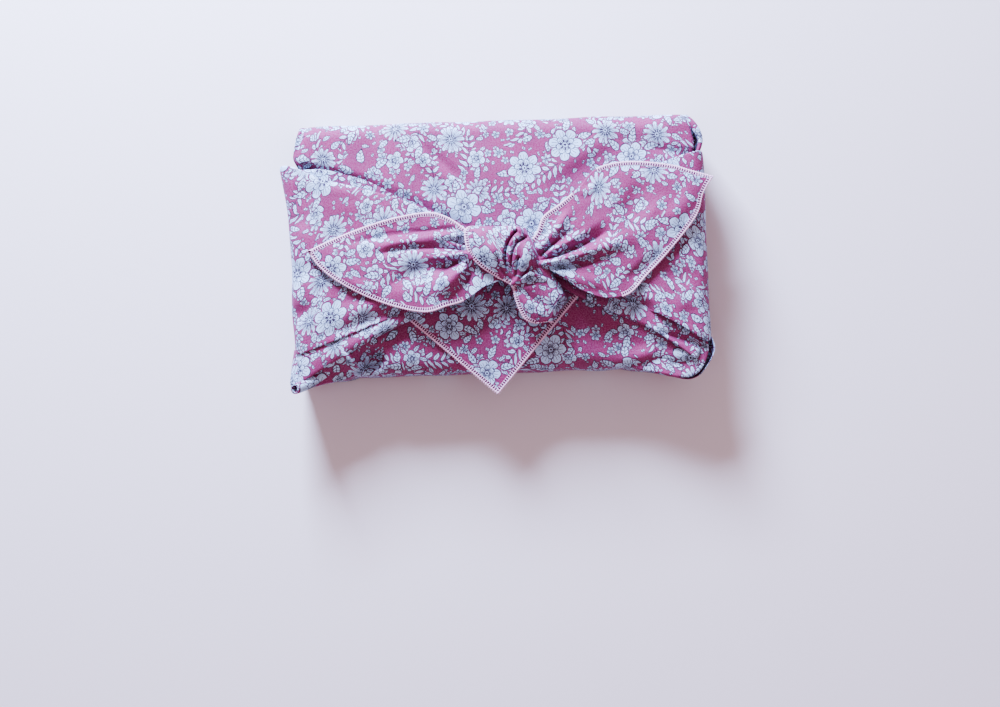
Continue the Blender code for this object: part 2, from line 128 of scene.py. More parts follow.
EAR_FOOT = 1.2           # lower edge of the corner folds above the surface
CAP_FOOT = 30.0          # lower edge of the layer that closes the right corner
EAR_TURN = 0.72          # share of a corner fold's height below its inward turn
FLAT_TUCK = 4.0          # a tucked edge less than this below the top turns in evenly
EAR_ROUND = 0.7          # share of x in the measure round a box corner
EAR_SWELL_X, EAR_SWELL_Y = 0.3, 0.7  # shares of a corner's swell along and across the wrap
RIM_DEPTH = 7.0          # how deep a standing folded edge reaches
RIM_FOOT = 9.0           # how far its foot reaches in under the sleeve
FOOT_END, BACK_END, BEND_END = 0.2, 0.45, 0.65   # shares of its section, foot to face
ROLL_RADIUS = 4.4        # outer radius of the rolled left corner
ROLL_TIP = 0.78          # its radius at the very tip, as a share of that
ROLL_TURNS = 2.4         # turns of cloth in the rolled left corner
ROLL_START = 2.2         # angle at which the outer turn starts
ROLL_CORE = 1.7          # how much less the radius is at the inner end
ROLL_PATH = (Vector((-100.0, -69.0, 34.0)), Vector((-127.0, -84.0, 40.0)),
             Vector((-131.6, -85.4, 47.5)))

# ------------------------------------------------------------------ fold tables


def table(kind, *lines):
    """Make a table: a row with named columns from each line of values."""
    return tuple(kind(*line) for line in lines)


# A section of a gathered end, from the bottom of its short side to the knot: the middle
# line's place and the y of its far and near folds.
Section = namedtuple("Section", "x z far near")

LEFT_END = table(Section,
    (-124.5, 1.1, 56, -74),
    (-129.8, 3.0, 57, -76),
    (-132.9, 11.0, 58, -78),
    (-133.8, 26.0, 59, -80),
    (-133.4, 40.0, 60, -81),
    (-128.0, 48.4, 59, -81),
    (-112.0, 50.6, 50, -72),
    (-92.0, 51.2, 44, -61),
    (-72.0, 51.8, 38, -51),
    (-54.0, 52.4, 31, -43),
    (-38.0, 53.2, 23, -36),
    (-22.0, 53.8, 13, -26),
    (2.0, 54.8, 2, -13),
)
RIGHT_END = table(Section,
    (127.5, 1.1, 58, -72),
    (133.2, 3.0, 59, -74),
    (136.6, 11.0, 60, -76),
    (137.4, 26.0, 61, -78),
    (137.2, 40.0, 61, -79),
    (131.6, 48.4, 60, -79),
    (116.0, 50.6, 55, -67),
    (98.0, 51.2, 48, -55),
    (82.0, 51.8, 41, -47),
    (66.0, 52.4, 33, -39),
    (50.0, 53.2, 24, -31),
    (34.0, 53.8, 14, -22),
    (14.0, 54.8, 4, -13),
)

# where the sleeve's two ends stand at each y: they open towards the far corners
Mouth = namedtuple("Mouth", "y left right")

MOUTHS = table(Mouth,
    (40.0, LEFT, RIGHT),
    (58.0, LEFT, RIGHT),
    (66.0, -131.4, 132.6),
    (74.0, -130.0, 131.8),
    (82.0, -128.2, 131.0),
    (90.0, -126.4, 130.2),
)

# A fold of a gathered end: its share of the way from the far fold to the near one, and how
# many layers above or below the main panel the cloth lies there.
Turn = namedtuple("Turn", "across layer")

LEFT_TURNS = table(Turn,
    (0.100, -1.0), (0.050, -1.0), (0.012, -0.95), (0.000, -0.5),
    (0.012, -0.05), (0.070, 0.1), (0.180, 0.2), (0.320, 0.1),
    (0.460, 0.0), (0.590, 0.0), (0.710, -0.3), (0.800, -0.7),
    (0.854, -0.95), (0.866, -1.25), (0.848, -1.6), (0.790, -1.7),
    (0.778, -2.0), (0.800, -2.3), (0.880, -1.75), (0.960, -1.9),
    (0.991, -2.1), (1.000, -2.7), (0.986, -3.6), (0.900, -3.6),
)
RIGHT_TURNS = table(Turn,
    (0.100, -1.0), (0.050, -1.0), (0.012, -0.95), (0.000, -0.5),
    (0.012, -0.05), (0.070, 0.1), (0.180, 0.1), (0.320, 0.2),
    (0.460, 0.1), (0.590, 0.0), (0.710, -0.1), (0.800, 0.1),
    (0.872, 0.1), (0.886, -0.40), (0.868, -0.9), (0.800, -1.0),
    (0.788, -1.6), (0.805, -2.4), (0.890, -2.2), (0.965, -2.1),
    (0.992, -2.4), (1.000, -3.2), (0.986, -4.4), (0.900, -4.4),
)

# places in a table of turns: from the first to the second the cloth is the outer layer, and
# from the third on it is the strip that shows below that layer's near fold
OUTER_FROM, OUTER_TO, STRIP_FROM = 2.5, 14.5, 16.2

# a free corner, by distance from its very corner along its two hemmed edges
Spread = namedtuple("Spread", "run upper_x upper_y upper_z lower_x lower_y lower_z")

LEFT_TAIL = table(Spread,
    (0, -121, 2, 53.5, -121, 2, 53.5),
    (12, -110, 7, 54.2, -114, -8, 54.0),
    (26, -97, 12, 54.6, -103, -17.5, 54.3),
    (46, -79, 18, 55.0, -85, -28, 54.6),
    (66, -60, 22.5, 55.4, -65, -36, 55.0),
    (85, -42, 24, 56.2, -46, -40, 55.6),
    (98, -30, 20, 57.0, -33, -37, 56.6),
    (110, -19, 12, 57.6, -20.5, -33.6, 57.0),
    (122, -8, 5, 58.2, -8, -25.5, 56.8),
    (134, 4, -1, 58.6, 6, -21, 56.8),
)
RIGHT_TAIL = table(Spread,
    (0, 142, 42, 52.8, 142, 42, 52.8),
    (15, 128, 46.2, 54.0, 135, 31, 53.6),
    (30, 113, 50.6, 54.8, 129.4, 16, 54.4),
    (57, 86, 53.2, 55.4, 111.5, -5.5, 55.0),
    (78, 66, 48.8, 55.8, 96.5, -20.5, 55.4),
    (95, 55, 37.5, 56.2, 83.5, -33, 55.6),
    (112, 43, 27, 57.0, 68, -35, 56.0),
    (128, 31, 18, 58.4, 52, -29, 57.6),
    (142, 26, 7, 59.2, 40, -20, 58.4),
    (160, 17, -3, 59.0, 18, -10, 58.6),
)

# the stretch over the knot, from its far foot over the top to the lobe and back under it
Wrap = namedtuple("Wrap", "left_x left_y right_x right_y z arch")

KNOT_WRAP = table(Wrap,
    (3, -4, 13, -3, 57.0, 0.0),
    (-4, 6, 15, 6, 57.0, 0.2),
    (-14, 13, 18, 12, 61.0, 1.5),
    (-19, 11, 21, 8, 67.6, 3.4),
    (-19.4, 4, 24, 2, 70.0, 4.6),
    (-17, -5, 26.5, -5, 70.4, 4.8),
    (-10, -13, 28, -11, 68.6, 4.0),
    (0, -20, 28, -15.5, 65.8, 2.8),
    (9, -25.5, 28, -19, 63.0, 2.0),
    (11, -33, 36.5, -24, 61.6, 2.0),
    (13.6, -41, 45.0, -32, 60.2, 2.0),
    (17.4, -47.2, 40.0, -41.5, 58.4, 1.4),
    (24.0, -49.4, 34.5, -48.4, 56.0, 0.6),
    (22, -45.5, 34, -41, 54.4, 0.5),
    (18, -36, 34, -31, 54.0, 0.3),
    (14, -24, 28, -20, 54.6, 0.2),
    (12, -12, 22, -11, 56.0, 0.0),
)

# a corner fold, along the corner: its top, its foot and the edge that is tucked in
Stand = namedtuple("Stand", "top_x top_y top_z low_x low_y in_x in_y in_z")

LEFT_EAR = table(Stand,
    (-92, -76.5, 33.0, -92, -76.5, -92, -72.0, 36.0),
    (-101, -80.0, 37.0, -101, -79.2, -100, -70.0, 39.0),
    (-112, -82.0, 40.0, -112, -79.8, -109, -67.0, 41.0),
    (-122, -84.4, 42.0, -121, -80.4, -116, -66.0, 42.6),
    (-130, -85.8, 42.5, -128, -80.2, -121, -66.0, 43.6),
    (-135, -83.2, 41.5, -132, -77.0, -124, -66.0, 44.0),
    (-135, -75.0, 39.0, -133, -69.5, -126, -65.0, 44.0),
    (-133.2, -60.0, 36.0, -132.8, -58.0, -128, -60.0, 43.0),
)
RIGHT_EAR = table(Stand,
    (76, -76.5, 33.0, 76, -76.5, 76, -70.0, 39.0),
    (88, -79.8, 38.4, 88, -79.2, 88, -70.0, 39.6),
    (100, -82.8, 40.2, 100, -80.2, 100, -70.0, 40.0),
    (111, -85.6, 41.0, 111, -81.4, 110, -70.0, 40.2),
    (121, -87.6, 41.4, 120, -81.6, 117.0, -78.0, 33.0),
    (128.4, -85.0, 41.8, 127, -79.0, 122.0, -74.0, 33.0),
    (133.4, -79.2, 42.8, 131.6, -74.0, 126.0, -71.0, 33.0),
    (137.2, -73.0, 43.8, 134.6, -69.0, 129.0, -69.0, 33.0),
    (138.6, -67.6, 44.0, 136.0, -64.6, 130.0, -66.0, 33.0),
    (137.2, -61.0, 42.0, 136.6, -59.0, 131.0, -61.5, 33.0),
)
RIGHT_CAP = table(Stand,
    (104, -82.6, 38.6, 104, -81.6, 103, -72.0, 37.6),
    (115, -85.8, 41.4, 115, -85.0, 110, -71.0, 39.4),
    (122, -86.2, 42.2, 121.6, -85.6, 115, -69.0, 40.8),
    (127.4, -83.4, 42.8, 126.8, -82.8, 119, -67.0, 42.0),
    (131.2, -78.6, 43.2, 130.4, -78.2, 121, -64.0, 42.8),
    (133.4, -73.2, 43.6, 132.6, -72.8, 123, -62.0, 42.8),
    (134.6, -68.2, 43.8, 133.8, -68.0, 124, -61.0, 43.0),
    (134.0, -62.6, 43.2, 133.4, -62.6, 126, -60.0, 43.0),
)

# a folded edge that stands up: its top and its thickness
Rim = namedtuple("Rim", "x y z thick")

RIGHT_MOUTH = table(Rim,
    (133.0, 57.0, 41.0, 1.8),
    (136.4, 62.0, 43.0, 2.2),
    (138.2, 68.6, 43.8, 2.6),
    (137.0, 75.6, 43.8, 4.2),
    (133.4, 81.8, 43.0, 3.8),
    (129.6, 86.0, 41.0, 2.6),
)

# A crease runs through three points.  Soft is 0 where it is deepest at its start, 1 where
# it fades at both ends and 2 where it does not fade.
Crease = namedtuple("Crease", "x0 y0 x1 y1 x2 y2 height width flare soft")

FAR_FLAP_CREASES = table(Crease,
    (-56, 72, -38, 55, -16, 34, 1.7, 7, 1.2, 1),
    (-50, 75, -31, 56, -10, 34, -1.8, 6, 1.2, 1),
    (-12, 76, -4, 50, 2, 22, 0.9, 12, 1.0, 1),
    (56, 80, 92, 77, 126, 72, 0.9, 8, 1.0, 1),
    (26, 30, 62, 50, 96, 70, -1.4, 12, 1.2, 1),
    (34, 46, 60, 64, 88, 78, 0.9, 9, 1.2, 1),
    (132, 56, 114, 62, 94, 66, -2.2, 6, 1.0, 0),
    (-122, 57, -98, 48, -64, 39, -3.6, 7, 1.8, 0),
    (-122, 54, -76, 38, -22, 13, -3.0, 11, 1.0, 2),
    (-124.2, 88, -126.6, 73, -129.6, 50, -2.4, 2.2, 1.0, 0),
    (-126.6, 88, -129.0, 73, -131.6, 50, 1.0, 2.0, 1.0, 0),
    (-84, 88, -77, 82, -72, 70, -1.5, 5, 1.0, 0),
    (-68, 88, -52, 84, -30, 82, 0.9, 7, 1.0, 1),
)
NEAR_PANEL_CREASES = table(Crease,
    (-85.5, -68.5, -83.5, -67.5, -81.5, -67.5, -11, 9.5, 1.0, 2),
    (-101, -62, -94.5, -71, -88, -80, 3.4, 3.4, 1.0, 2),
    (134, -74, 104, -75, 70, -74, 4.2, 11, 1.0, 0),
    (-128, -77, -96, -60, -64, -45, 4.8, 16, 1.0, 0),
    (130, -79, 98, -55, 62, -37, 2.4, 13, 1.0, 0),
    (-66, -52, -60, -62, -56, -76, 1.0, 8, 1.0, 1),
    (-44, -48, -40, -60, -38, -76, -1.0, 9, 1.0, 1),
    (92, -78, 106, -72, 124, -66, -1.8, 8, 1.0, 1),
    (60, -79, 84, -74, 108, -62, 1.4, 7, 1.0, 1),
    (36, -46, 60, -58, 84, -66, -1.2, 10, 1.0, 1),
)
LEFT_END_CREASES = table(Crease,
    (-44, -26, -76, -32, -116, -45, 2.6, 6, 1.4, 0),
    (-50, -34, -84, -44, -128, -58, -1.8, 5, 1.2, 0),
    (-60, 28, -92, 34, -126, 40, 0.9, 12, 1.2, 1),
    (-92, 40, -112, 44, -136, 50, 0.8, 6, 1.0, 0),
    (-116, 50, -122, 34, -126, 10, -1.4, 9, 1.2, 1),
    (-112, -16, -120, -30, -128, -40, -1.2, 8, 1.0, 1),
    (-118, 2, -126, -4, -134, -8, 0.9, 7, 1.0, 1),
    (-140, -41, -128, -38, -112, -36, -2.4, 8, 1.0, 0),
    (-140, -6, -130, -8, -116, -12, -1.6, 9, 1.0, 0),
    (-140, 20, -128, 22, -114, 26, -1.0, 8, 1.0, 0),
)
RIGHT_END_CREASES = table(Crease,
    (74, -29, 90, -38, 107, -48, -6.0, 5.5, 1.2, 0),
    (92, -44, 106, -53, 138, -61, 1.6, 4, 1.4, 0),
    (110, 44, 122, 20, 128, -16, 0.9, 10, 1.2, 1),
    (104, -14, 118, -22, 132, -26, -1.6, 8, 1.2, 1),
    (112, -42, 122, -38, 134, -36, 1.2, 7, 1.2, 1),
)
# the layer that shows below each gathered end, next to its near edge
LEFT_STRIP_CREASES = table(Crease,
    (-62, -43, -94, -58, -128, -74, 1.0, 4, 1.2, 0),
)
RIGHT_STRIP_CREASES = table(Crease,
    (136, -66, 118, -61.5, 100, -56, -4.0, 6, 0.6, 0),
    (98, -56, 112, -66, 128, -77, 1.6, 4.0, 1.0, 2),
)
LEFT_TAIL_CREASES = table(Crease,
    (-22.6, 11.4, -65.4, 10.7, -104.1, 3.1, -1.8, 4.0, 1.0, 0),
    (-34, 15, -66, 12.5, -98, 5, -1.8, 13, 1.0, 1),
    (-21.4, 8.7, -55.2, 6.6, -97.1, 0.7, 2.2, 5, 1.2, 0),
    (-19.6, -1.6, -57.0, 1.5, -81.1, -5.1, -2.6, 3, 1.6, 0),
    (-19.5, 1.8, -25.4, 4.2, -32.2, 6.6, -2.4, 1.8, 1.3, 0),
    (-18.8, -3.8, -31.6, -6.0, -46.2, -6.3, 3.0, 3.6, 1.2, 0),
    (-19.8, -6.9, -33.4, -8.7, -48.8, -7.8, -2.8, 2.6, 1.2, 0),
    (-23.3, -10.1, -48.9, -14.4, -78.1, -25.3, -4.6, 7, 1.8, 0),
    (-17.2, -7.6, -29.5, -21.0, -44.3, -30.8, 6.0, 7, 1.4, 0),
    (-18.5, -10.5, -17.8, -17.6, -21.2, -27.1, -4.0, 4, 1.0, 0),
    (-70, -28, -88, -22, -104, -12, 0.9, 6, 1.0, 1),
)
RIGHT_TAIL_CREASES = table(Crease,
    (29.7, -9.9, 54.7, -1.0, 80.0, 13.8, -6.0, 3.4, 3.0, 0),
    (31.1, -12.5, 58.2, -4.8, 100.2, 6.0, 4.8, 5, 1.8, 0),
    (32.1, -14.8, 48.1, -13.5, 73.8, -9.2, -3.8, 3.2, 1.8, 0),
    (27.8, -2.4, 40.6, 11.8, 51.0, 25.1, 2.4, 4.0, 1.3, 0),
    (28.8, -7.0, 39.0, 2.7, 54.0, 10.9, -3.2, 2.6, 1.5, 0),
    (30.1, -9.0, 43.7, -0.9, 62.4, 8.0, 3.4, 3.4, 1.4, 0),
    (77.2, 10.5, 91.4, 24.9, 102.1, 44.4, -3.2, 12, 1.2, 1),
    (79.2, -25.2, 96.6, -17.2, 112.0, 0.7, -2.6, 8, 1.0, 1),
    (48, 44, 60, 34, 70, 49, 1.6, 4, 1.0, 1),
    (36, -19, 56, -24, 78, -27, 1.6, 6, 1.2, 0),
    (104, 6, 122, 24, 132, 40, 1.3, 8, 1.0, 1),
)
KNOT_CREASES = table(Crease,
    (13.1, 8.5, 5.7, -6.0, 9.7, -24.5, -5.6, 1.8, 1.0, 0),
    (17.6, 3.5, 10.0, -5.8, 10.7, -24.0, -4.6, 1.6, 1.0, 0),
    (13.5, 2.7, 7.8, -6.1, 9.8, -22.8, -1.4, 0.9, 1.0, 0),
    (14.0, -8.8, 12.6, -14.5, 11.7, -23.5, -3.6, 1.5, 1.0, 0),
    (20.8, -15.5, 16.9, -19.1, 12.0, -24.0, -4.2, 2.2, 1.0, 0),
    (0.5, -7.8, 2.9, -15.6, 9.4, -24.5, -3.0, 2.4, 1.0, 0),
    (-3.0, 4.0, -1.0, -8.0, 6.0, -22.0, 1.4, 4.5, 1.0, 1),
    (18.0, 2.5, 21.4, -7.2, 16.0, -20.5, 2.6, 6.0, 1.0, 1),
    (8.2, 13.5, 14.2, 10.2, 20.1, 5.3, 2.6, 2.6, 1.0, 0),
    (19.2, 4.6, 16.1, 2.9, 13.0, 1.0, -3.4, 1.8, 1.0, 0),
    (-14, 10, -9, 2, -4, -8, 0.9, 5.0, 1.0, 1),
    (10.0, -24.6, 24.0, -19.6, 40.0, -27.5, 2.2, 3.2, 1.1, 0),
    (11, -27.2, 19, -25, 28.0, -25.0, -2.0, 2.2, 1.2, 0),
    (12, -27, 22, -34, 34, -44, -1.4, 4.0, 1.4, 0),
    (11, -26, 17, -37, 22, -47, 1.2, 3.6, 1.3, 0),
)

# ------------------------------------------------------------------ small maths


def ease(t):
    """Go from 0 to 1 with level ends."""
    t = min(max(t, 0.0), 1.0)
    return t * t * (3.0 - 2.0 * t)


def between(rows, column, place):
    """Read one column of a table at a place between rows, on a smooth curve."""
    last = len(rows) - 1
    place = min(max(place, 0.0), float(last))
    i = min(int(place), last - 1)
    t = place - i
    p1 = getattr(rows[i], column)
    p2 = getattr(rows[i + 1], column)
    p0 = getattr(rows[i - 1], column) if i > 0 else 2 * p1 - p2
    p3 = getattr(rows[i + 2], column) if i + 2 <= last else 2 * p2 - p1
    curve = (p2 - p0) * t
    curve += (2 * p0 - 5 * p1 + 4 * p2 - p3) * t * t
    curve += (3 * p1 - p0 - 3 * p2 + p3) * t ** 3
    return p1 + 0.5 * curve


@lru_cache(maxsize=None)
def reading(rows, place):
    """Read every column of a table at a place."""
    return tuple(between(rows, column, place) for column in rows[0]._fields)


@lru_cache(maxsize=None)
def crease_line(crease):
    """Points and steps along a crease's curve, through its start, middle and end."""
    start, middle, end = (Vector(crease[i:i + 2]) for i in (0, 2, 4))
    handle = 2 * middle - (start + end) / 2
    shares = [i / CREASE_STEPS for i in range(CREASE_STEPS + 1)]
    points = [start * (1 - t) ** 2 + handle * 2 * t * (1 - t) + end * t * t for t in shares]
    reach = crease.width * max(1.0, crease.flare)
    low = [min(p[k] for p in points) - reach for k in (0, 1)]
    high = [max(p[k] for p in points) + reach for k in (0, 1)]
    return [(p, q - p, (q - p).length_squared) for p, q in zip(points, points[1:])], low, high


def lift(x, y, creases):
    """Add up the ridges and troughs that reach a point of a sheet."""
    total = 0.0
    here = Vector((x, y))
    for crease in creases:
        steps, low, high = crease_line(crease)
        if not (low[0] < x < high[0] and low[1] < y < high[1]):
            continue
        nearest, share = 1e9, 0.0
        for i, (point, step, squared) in enumerate(steps):
            t = min(max((here - point).dot(step) / squared, 0.0), 1.0)
            gap = (here - point - step * t).length_squared
            if gap < nearest:
                nearest, share = gap, (i + t) / CREASE_STEPS
        away = math.sqrt(nearest) / (crease.width * (1.0 + (crease.flare - 1.0) * share))
        if away >= 1.0:
            continue
        rounded = (1.0 - away * away) ** 2
        if crease.height < 0.0 and crease.width < WIDE:
            rounded = ROUND * rounded + (1.0 - ROUND) * (1.0 - away) ** 2
        fade = 1.0 if crease.soft > 1 else ease((1.0 - share) / FADE_OUT)
        if crease.soft == 1:
            fade *= ease(share / FADE_IN)
        total += crease.height * fade * rounded
    return total


def crumple(x, y, size, depth, shift=0.0):
    """Soft uneven rise and fall of handled cloth, of a size and depth in millimetres."""
    return depth * noise.noise(Vector((x / size + shift, y / size, shift)))


# --------------------------------------------------------------------- stretches


def top_of_sleeve(x, y):
    """How far the sleeve's top rises or falls from level at a point."""
    middle = 0.5 * (NEAR + FAR)
    half = 0.5 * (FAR - NEAR)
    rise = CROWN * (1.0 - ((y - middle) / half) ** 2)
    rise -= NEAR_FALL * ease((middle - y) / half) ** 2
    end = max((LEFT + END_REACH - x) / END_REACH, (x - RIGHT + END_REACH) / END_REACH, 0.0)
    return rise - END_DROP * min(end, 1.0) ** 2


def run_between(start, end, count, first=0):
    """Even steps from a start to an end value."""
    return [start + (end - start) * i / count for i in range(first, count + 1)]


@lru_cache(maxsize=None)
def sleeve_path(flap_edge):
    """Points (y, z, layer) of the sleeve's section, from its hidden end to the flap."""
    outer = HEIGHT - SKIN
    inner = outer - LAYER
    near = NEAR + SKIN
    far = FAR - SKIN
    low = SKIN + LOW_BEND
    quarter = run_between(0.0, math.pi / 2, BEND_STEPS, 1)
    path = [(y, inner, 0)
            for y in run_between(UNDER_FLAP_END, near + TOP_BEND, UNDER_STEPS)]
    path += [(near + TOP_BEND * (1 - math.sin(a)), inner - TOP_BEND * (1 - math.cos(a)), 0)
             for a in quarter]
    path += [(near, z, 0) for z in run_between(inner - TOP_BEND, low, WALL_STEPS, 1)]
    path += [(near + LOW_BEND * (1 - math.cos(a)), SKIN + LOW_BEND * (1 - math.sin(a)), 0)
             for a in quarter]
    path += [(y, SKIN, 0)
             for y in run_between(near + LOW_BEND, far - LOW_BEND, BASE_STEPS, 1)]
    path += [(far - LOW_BEND * (1 - math.sin(a)), SKIN + LOW_BEND * (1 - math.cos(a)), 0)
             for a in quarter]
    path += [(far, z, 1) for z in run_between(low, outer - TOP_BEND, WALL_STEPS, 1)]
    path += [(far - TOP_BEND * (1 - math.cos(a)), outer - TOP_BEND * (1 - math.sin(a)), 1)
             for a in quarter]
    path += [(y, outer, 1) for y in run_between(far - TOP_BEND, flap_edge, FLAP_STEPS, 1)]
    return path


SLEEVE_ROWS = len(sleeve_path(0.0)) - 1


def sleeve(u, v):
    """Place a point of the sleeve: u along the wrap, v round its section."""
    if u < 0.5:
        x = LEFT + (TIP_X - LEFT) * u * 2
        edge = TIP_Y + TIP_LEFT_SLOPE * (TIP_X - x)
    else:
        x = TIP_X + (RIGHT - TIP_X) * (u - 0.5) * 2
        edge = TIP_Y + TIP_RIGHT_SLOPE * (x - TIP_X)
    path = sleeve_path(round(edge, 6))
    row = min(int(v * SLEEVE_ROWS + 1e-6), SLEEVE_ROWS - 1)
    share = v * SLEEVE_ROWS - row
    y, z = Vector(path[row][:2]).lerp(Vector(path[row + 1][:2]), share)
    layer = path[row + 1][2]
    share = z / HEIGHT
    rise = top_of_sleeve(x, max(y, NEAR)) * share
    if z > TOP_SHARE * HEIGHT:
        rise += lift(x, y, FAR_FLAP_CREASES if layer else NEAR_PANEL_CREASES)
        rise += crumple(x, y, size=34.0, depth=0.8)
        rise += crumple(x, y, size=13.0, depth=0.25, shift=3.0)
    bend = NEAR + TIP_BEND
    hang = TIP_DROOP * ease((bend - y) / (bend - TIP_Y)) if layer else 0.0
    swell = WALL_BULGE * math.sin(math.pi * share)
    swell += crumple(x, z, size=26.0, depth=1.2, shift=7.0) * math.sin(math.pi * share)
    if y > FAR - WALL_DEPTH:
        y += swell
    elif NEAR - 1.0 < y < NEAR + WALL_DEPTH:
        y -= swell
    row = (y - MOUTHS[1].y) / (MOUTHS[2].y - MOUTHS[1].y) + 1.0
    side, end = ("left", LEFT) if x < 0 else ("right", RIGHT)
    reach = between(MOUTHS, side, max(row, 1.0)) - end
    x += reach * abs(x / end) ** MOUTH_CURVE
    return x, y, z + rise - hang


def gathered_end(u, v, sections, turns, creases, strip, flare, tip, opening, slide):
    """Place a point of a gathered end: u from the bottom to the knot, v across.

    flare is how far its far corner stands out, tip how far its near corner does,
    opening how much of the layer below draws back where it turns down the short side,
    and slide how much nearer the edge its lapped fold runs by the knot.
    """
    place = u * (len(sections) - 1)
    x, z, far, near = reading(sections, place)
    ahead = Vector(reading(sections, place + SLOPE_STEP)[:2])
    behind = Vector(reading(sections, place - SLOPE_STEP)[:2])
    run = (ahead - behind).normalized()
    side = 1.0 if sections[0].x < 0 else -1.0
    out = Vector((-run.y, run.x)) * side
    turn = v * (len(turns) - 1)
    across, layer = reading(turns, turn)
    if turn > OUTER_TO:
        drawn = opening * ease((DRAWN_ROW - place) / DRAWN_OVER)
        across -= max(across - DRAWN_AT, 0.0) * drawn
    by_fold = max(0.0, 1.0 - abs(across - FOLD_AT) / FOLD_REACH)
    across += slide * ease((place - SLIDE_ROW) / SLIDE_OVER) * by_fold
    depth = layer * LAYER
    y = far + (near - far) * across
    on_top = ease((z - RISE_FROM) / RISE_OVER)
    if OUTER_FROM < turn < OUTER_TO:
        depth += lift(x, y, creases) * on_top
    elif turn > STRIP_FROM:
        depth += lift(x, y, strip) * on_top
    depth += crumple(x + z, y, size=24.0, depth=0.9, shift=side) * ease(u / FOOT_CALM)
    point = Vector((x, z)) + out * depth
    corner = math.exp(-((place - CORNER_ROW) / CORNER_SPAN) ** 2)
    point.x -= side * flare * corner * max(1.0 - across / FLARE_SHARE, 0.0) ** FLARE_CURVE
    point.x -= side * tip * corner * ease((across - POINT_AT) / POINT_REACH)
    y -= tip * corner * ease((across - FOLD_AT) / FOLD_REACH)
    return point.x, y, point.y


left_end = partial(
    gathered_end, sections=LEFT_END, turns=LEFT_TURNS, creases=LEFT_END_CREASES,
    strip=LEFT_STRIP_CREASES, flare=7.0, tip=2.0, opening=0.0, slide=0.055)
right_end = partial(
    gathered_end, sections=RIGHT_END, turns=RIGHT_TURNS, creases=RIGHT_END_CREASES,
    strip=RIGHT_STRIP_CREASES, flare=1.0, tip=0.0, opening=0.6, slide=0.0)


def band_top(x):
    """Height of the gathered end's outer face where a free corner lies over it."""
    sections = LEFT_END if x < 0 else RIGHT_END
    side = -1.0 if x < 0 else 1.0
    for inner, outer in zip(sections[:TOP_ROW - 1:-1], sections[-2:TOP_ROW - 2:-1]):
        if inner.x * side <= x * side <= outer.x * side:
            share = (x - inner.x) / (outer.x - inner.x)
            return inner.z + (outer.z - inner.z) * share
    return sections[TOP_ROW if abs(x) > BAND_END else -1].z


def free_corner(u, v, spreads, creases, dome, lap):
    """Place a point of a free corner: u from the very corner to the knot.

    dome is how far its middle stands off; lap is how far it climbs towards the knot.
    """
    whole = spreads[-1].run
    run = u * whole
    row = next(i for i in range(1, len(spreads)) if run <= spreads[i].run + 1e-6)
    before, after = spreads[row - 1].run, spreads[row].run
    edges = reading(spreads, row - 1 + (run - before) / (after - before))
    point = Vector(edges[1:4]).lerp(Vector(edges[4:7]), v)
    middle = math.sin(math.pi * v)
    away = math.sin(math.pi * min(u * DOME_END, 1.0))
    near_knot = ease((run - CLIMB_FROM * whole) / (CLIMB_OVER * whole))
    point.z += middle * dome * away + lap * near_knot
    creased = HEM_CREASE + (1.0 - HEM_CREASE) * min(1.0, HEM_RISE * middle)
    point.z += lift(point.x, point.y, creases) * creased
    crumpled = HEM_CRUMPLE + (1.0 - HEM_CRUMPLE) * middle
    point.z += crumple(point.x, point.y, size=15.0, depth=0.6, shift=dome) * crumpled
    point.z += crumple(point.x, point.y, size=6.0, depth=0.22, shift=dome + 5.0)
    point.z = max(point.z, band_top(point.x) + CLEAR)
    return tuple(point)


left_tail = partial(
    free_corner, spreads=LEFT_TAIL, creases=LEFT_TAIL_CREASES, dome=2.0, lap=3.2)
right_tail = partial(
    free_corner, spreads=RIGHT_TAIL, creases=RIGHT_TAIL_CREASES, dome=2.6, lap=3.8)

# Where the right edge of the stretch over the knot turns down: the share across where it
# starts and its reach, the rows where it comes and goes and over how many, and how far.
Tuck = namedtuple("Tuck", "edge reach first rise last fall depth")

KNOT_TUCKS = table(Tuck,
    (0.82, 0.18, 1.0, 2.0, 9.0, 1.5, 5.4),
    (0.78, 0.22, 8.6, 1.2, 13.6, 1.0, 9.0),
)


def knot_wrap(u, v):
    """Place a point of the stretch over the knot: u far to near, v left to right."""
    place = u * (len(KNOT_WRAP) - 1)
    left_x, left_y, right_x, right_y, z, arch = reading(KNOT_WRAP, place)
    x = left_x + (right_x - left_x) * v
    y = left_y + (right_y - left_y) * v
    z -= arch * abs(2 * v - ARCH_CREST) ** ARCH_CURVE
    over = ease(place / KNOT_COME) * ease((KNOT_LAST - place) / KNOT_GO)
    z += lift(x, y, KNOT_CREASES) * over
    for tuck in KNOT_TUCKS:
        share = max((v - tuck.edge) / tuck.reach, 0.0)
        share *= ease((place - tuck.first) / tuck.rise) * ease((tuck.last - place) / tuck.fall)
        z -= tuck.depth * share * share
    z += crumple(x, y, size=9.0, depth=0.35, shift=11.0) * over
    return x, y, z


# the knot's turned edge, from the knot down to its lobe
Facing = namedtuple("Facing", "left_x left_y right_x right_y z")

KNOT_FACING = table(Facing,
    (19.0, -5.0, 25.5, -5.5, 58.0),
    (21.0, -12.0, 28.5, -9.5, 62.5),
    (23.0, -18.0, 31.4, -13.2, 63.4),
    (27.0, -23.0, 34.4, -17.2, 62.6),
    (31.0, -28.0, 37.4, -21.6, 61.0),
    (35.0, -33.0, 41.0, -26.4, 58.6),
)


def knot_facing(u, v):
    """Place a point of the narrow turned edge between the knot and the right corner."""
    left_x, left_y, right_x, right_y, z = reading(KNOT_FACING, u * (len(KNOT_FACING) - 1))
    x = left_x + (right_x - left_x) * v
    y = left_y + (right_y - left_y) * v
    return x, y, z - FACING_TUCK * (1.0 - v) ** 2 - FACING_DROP * v ** 4


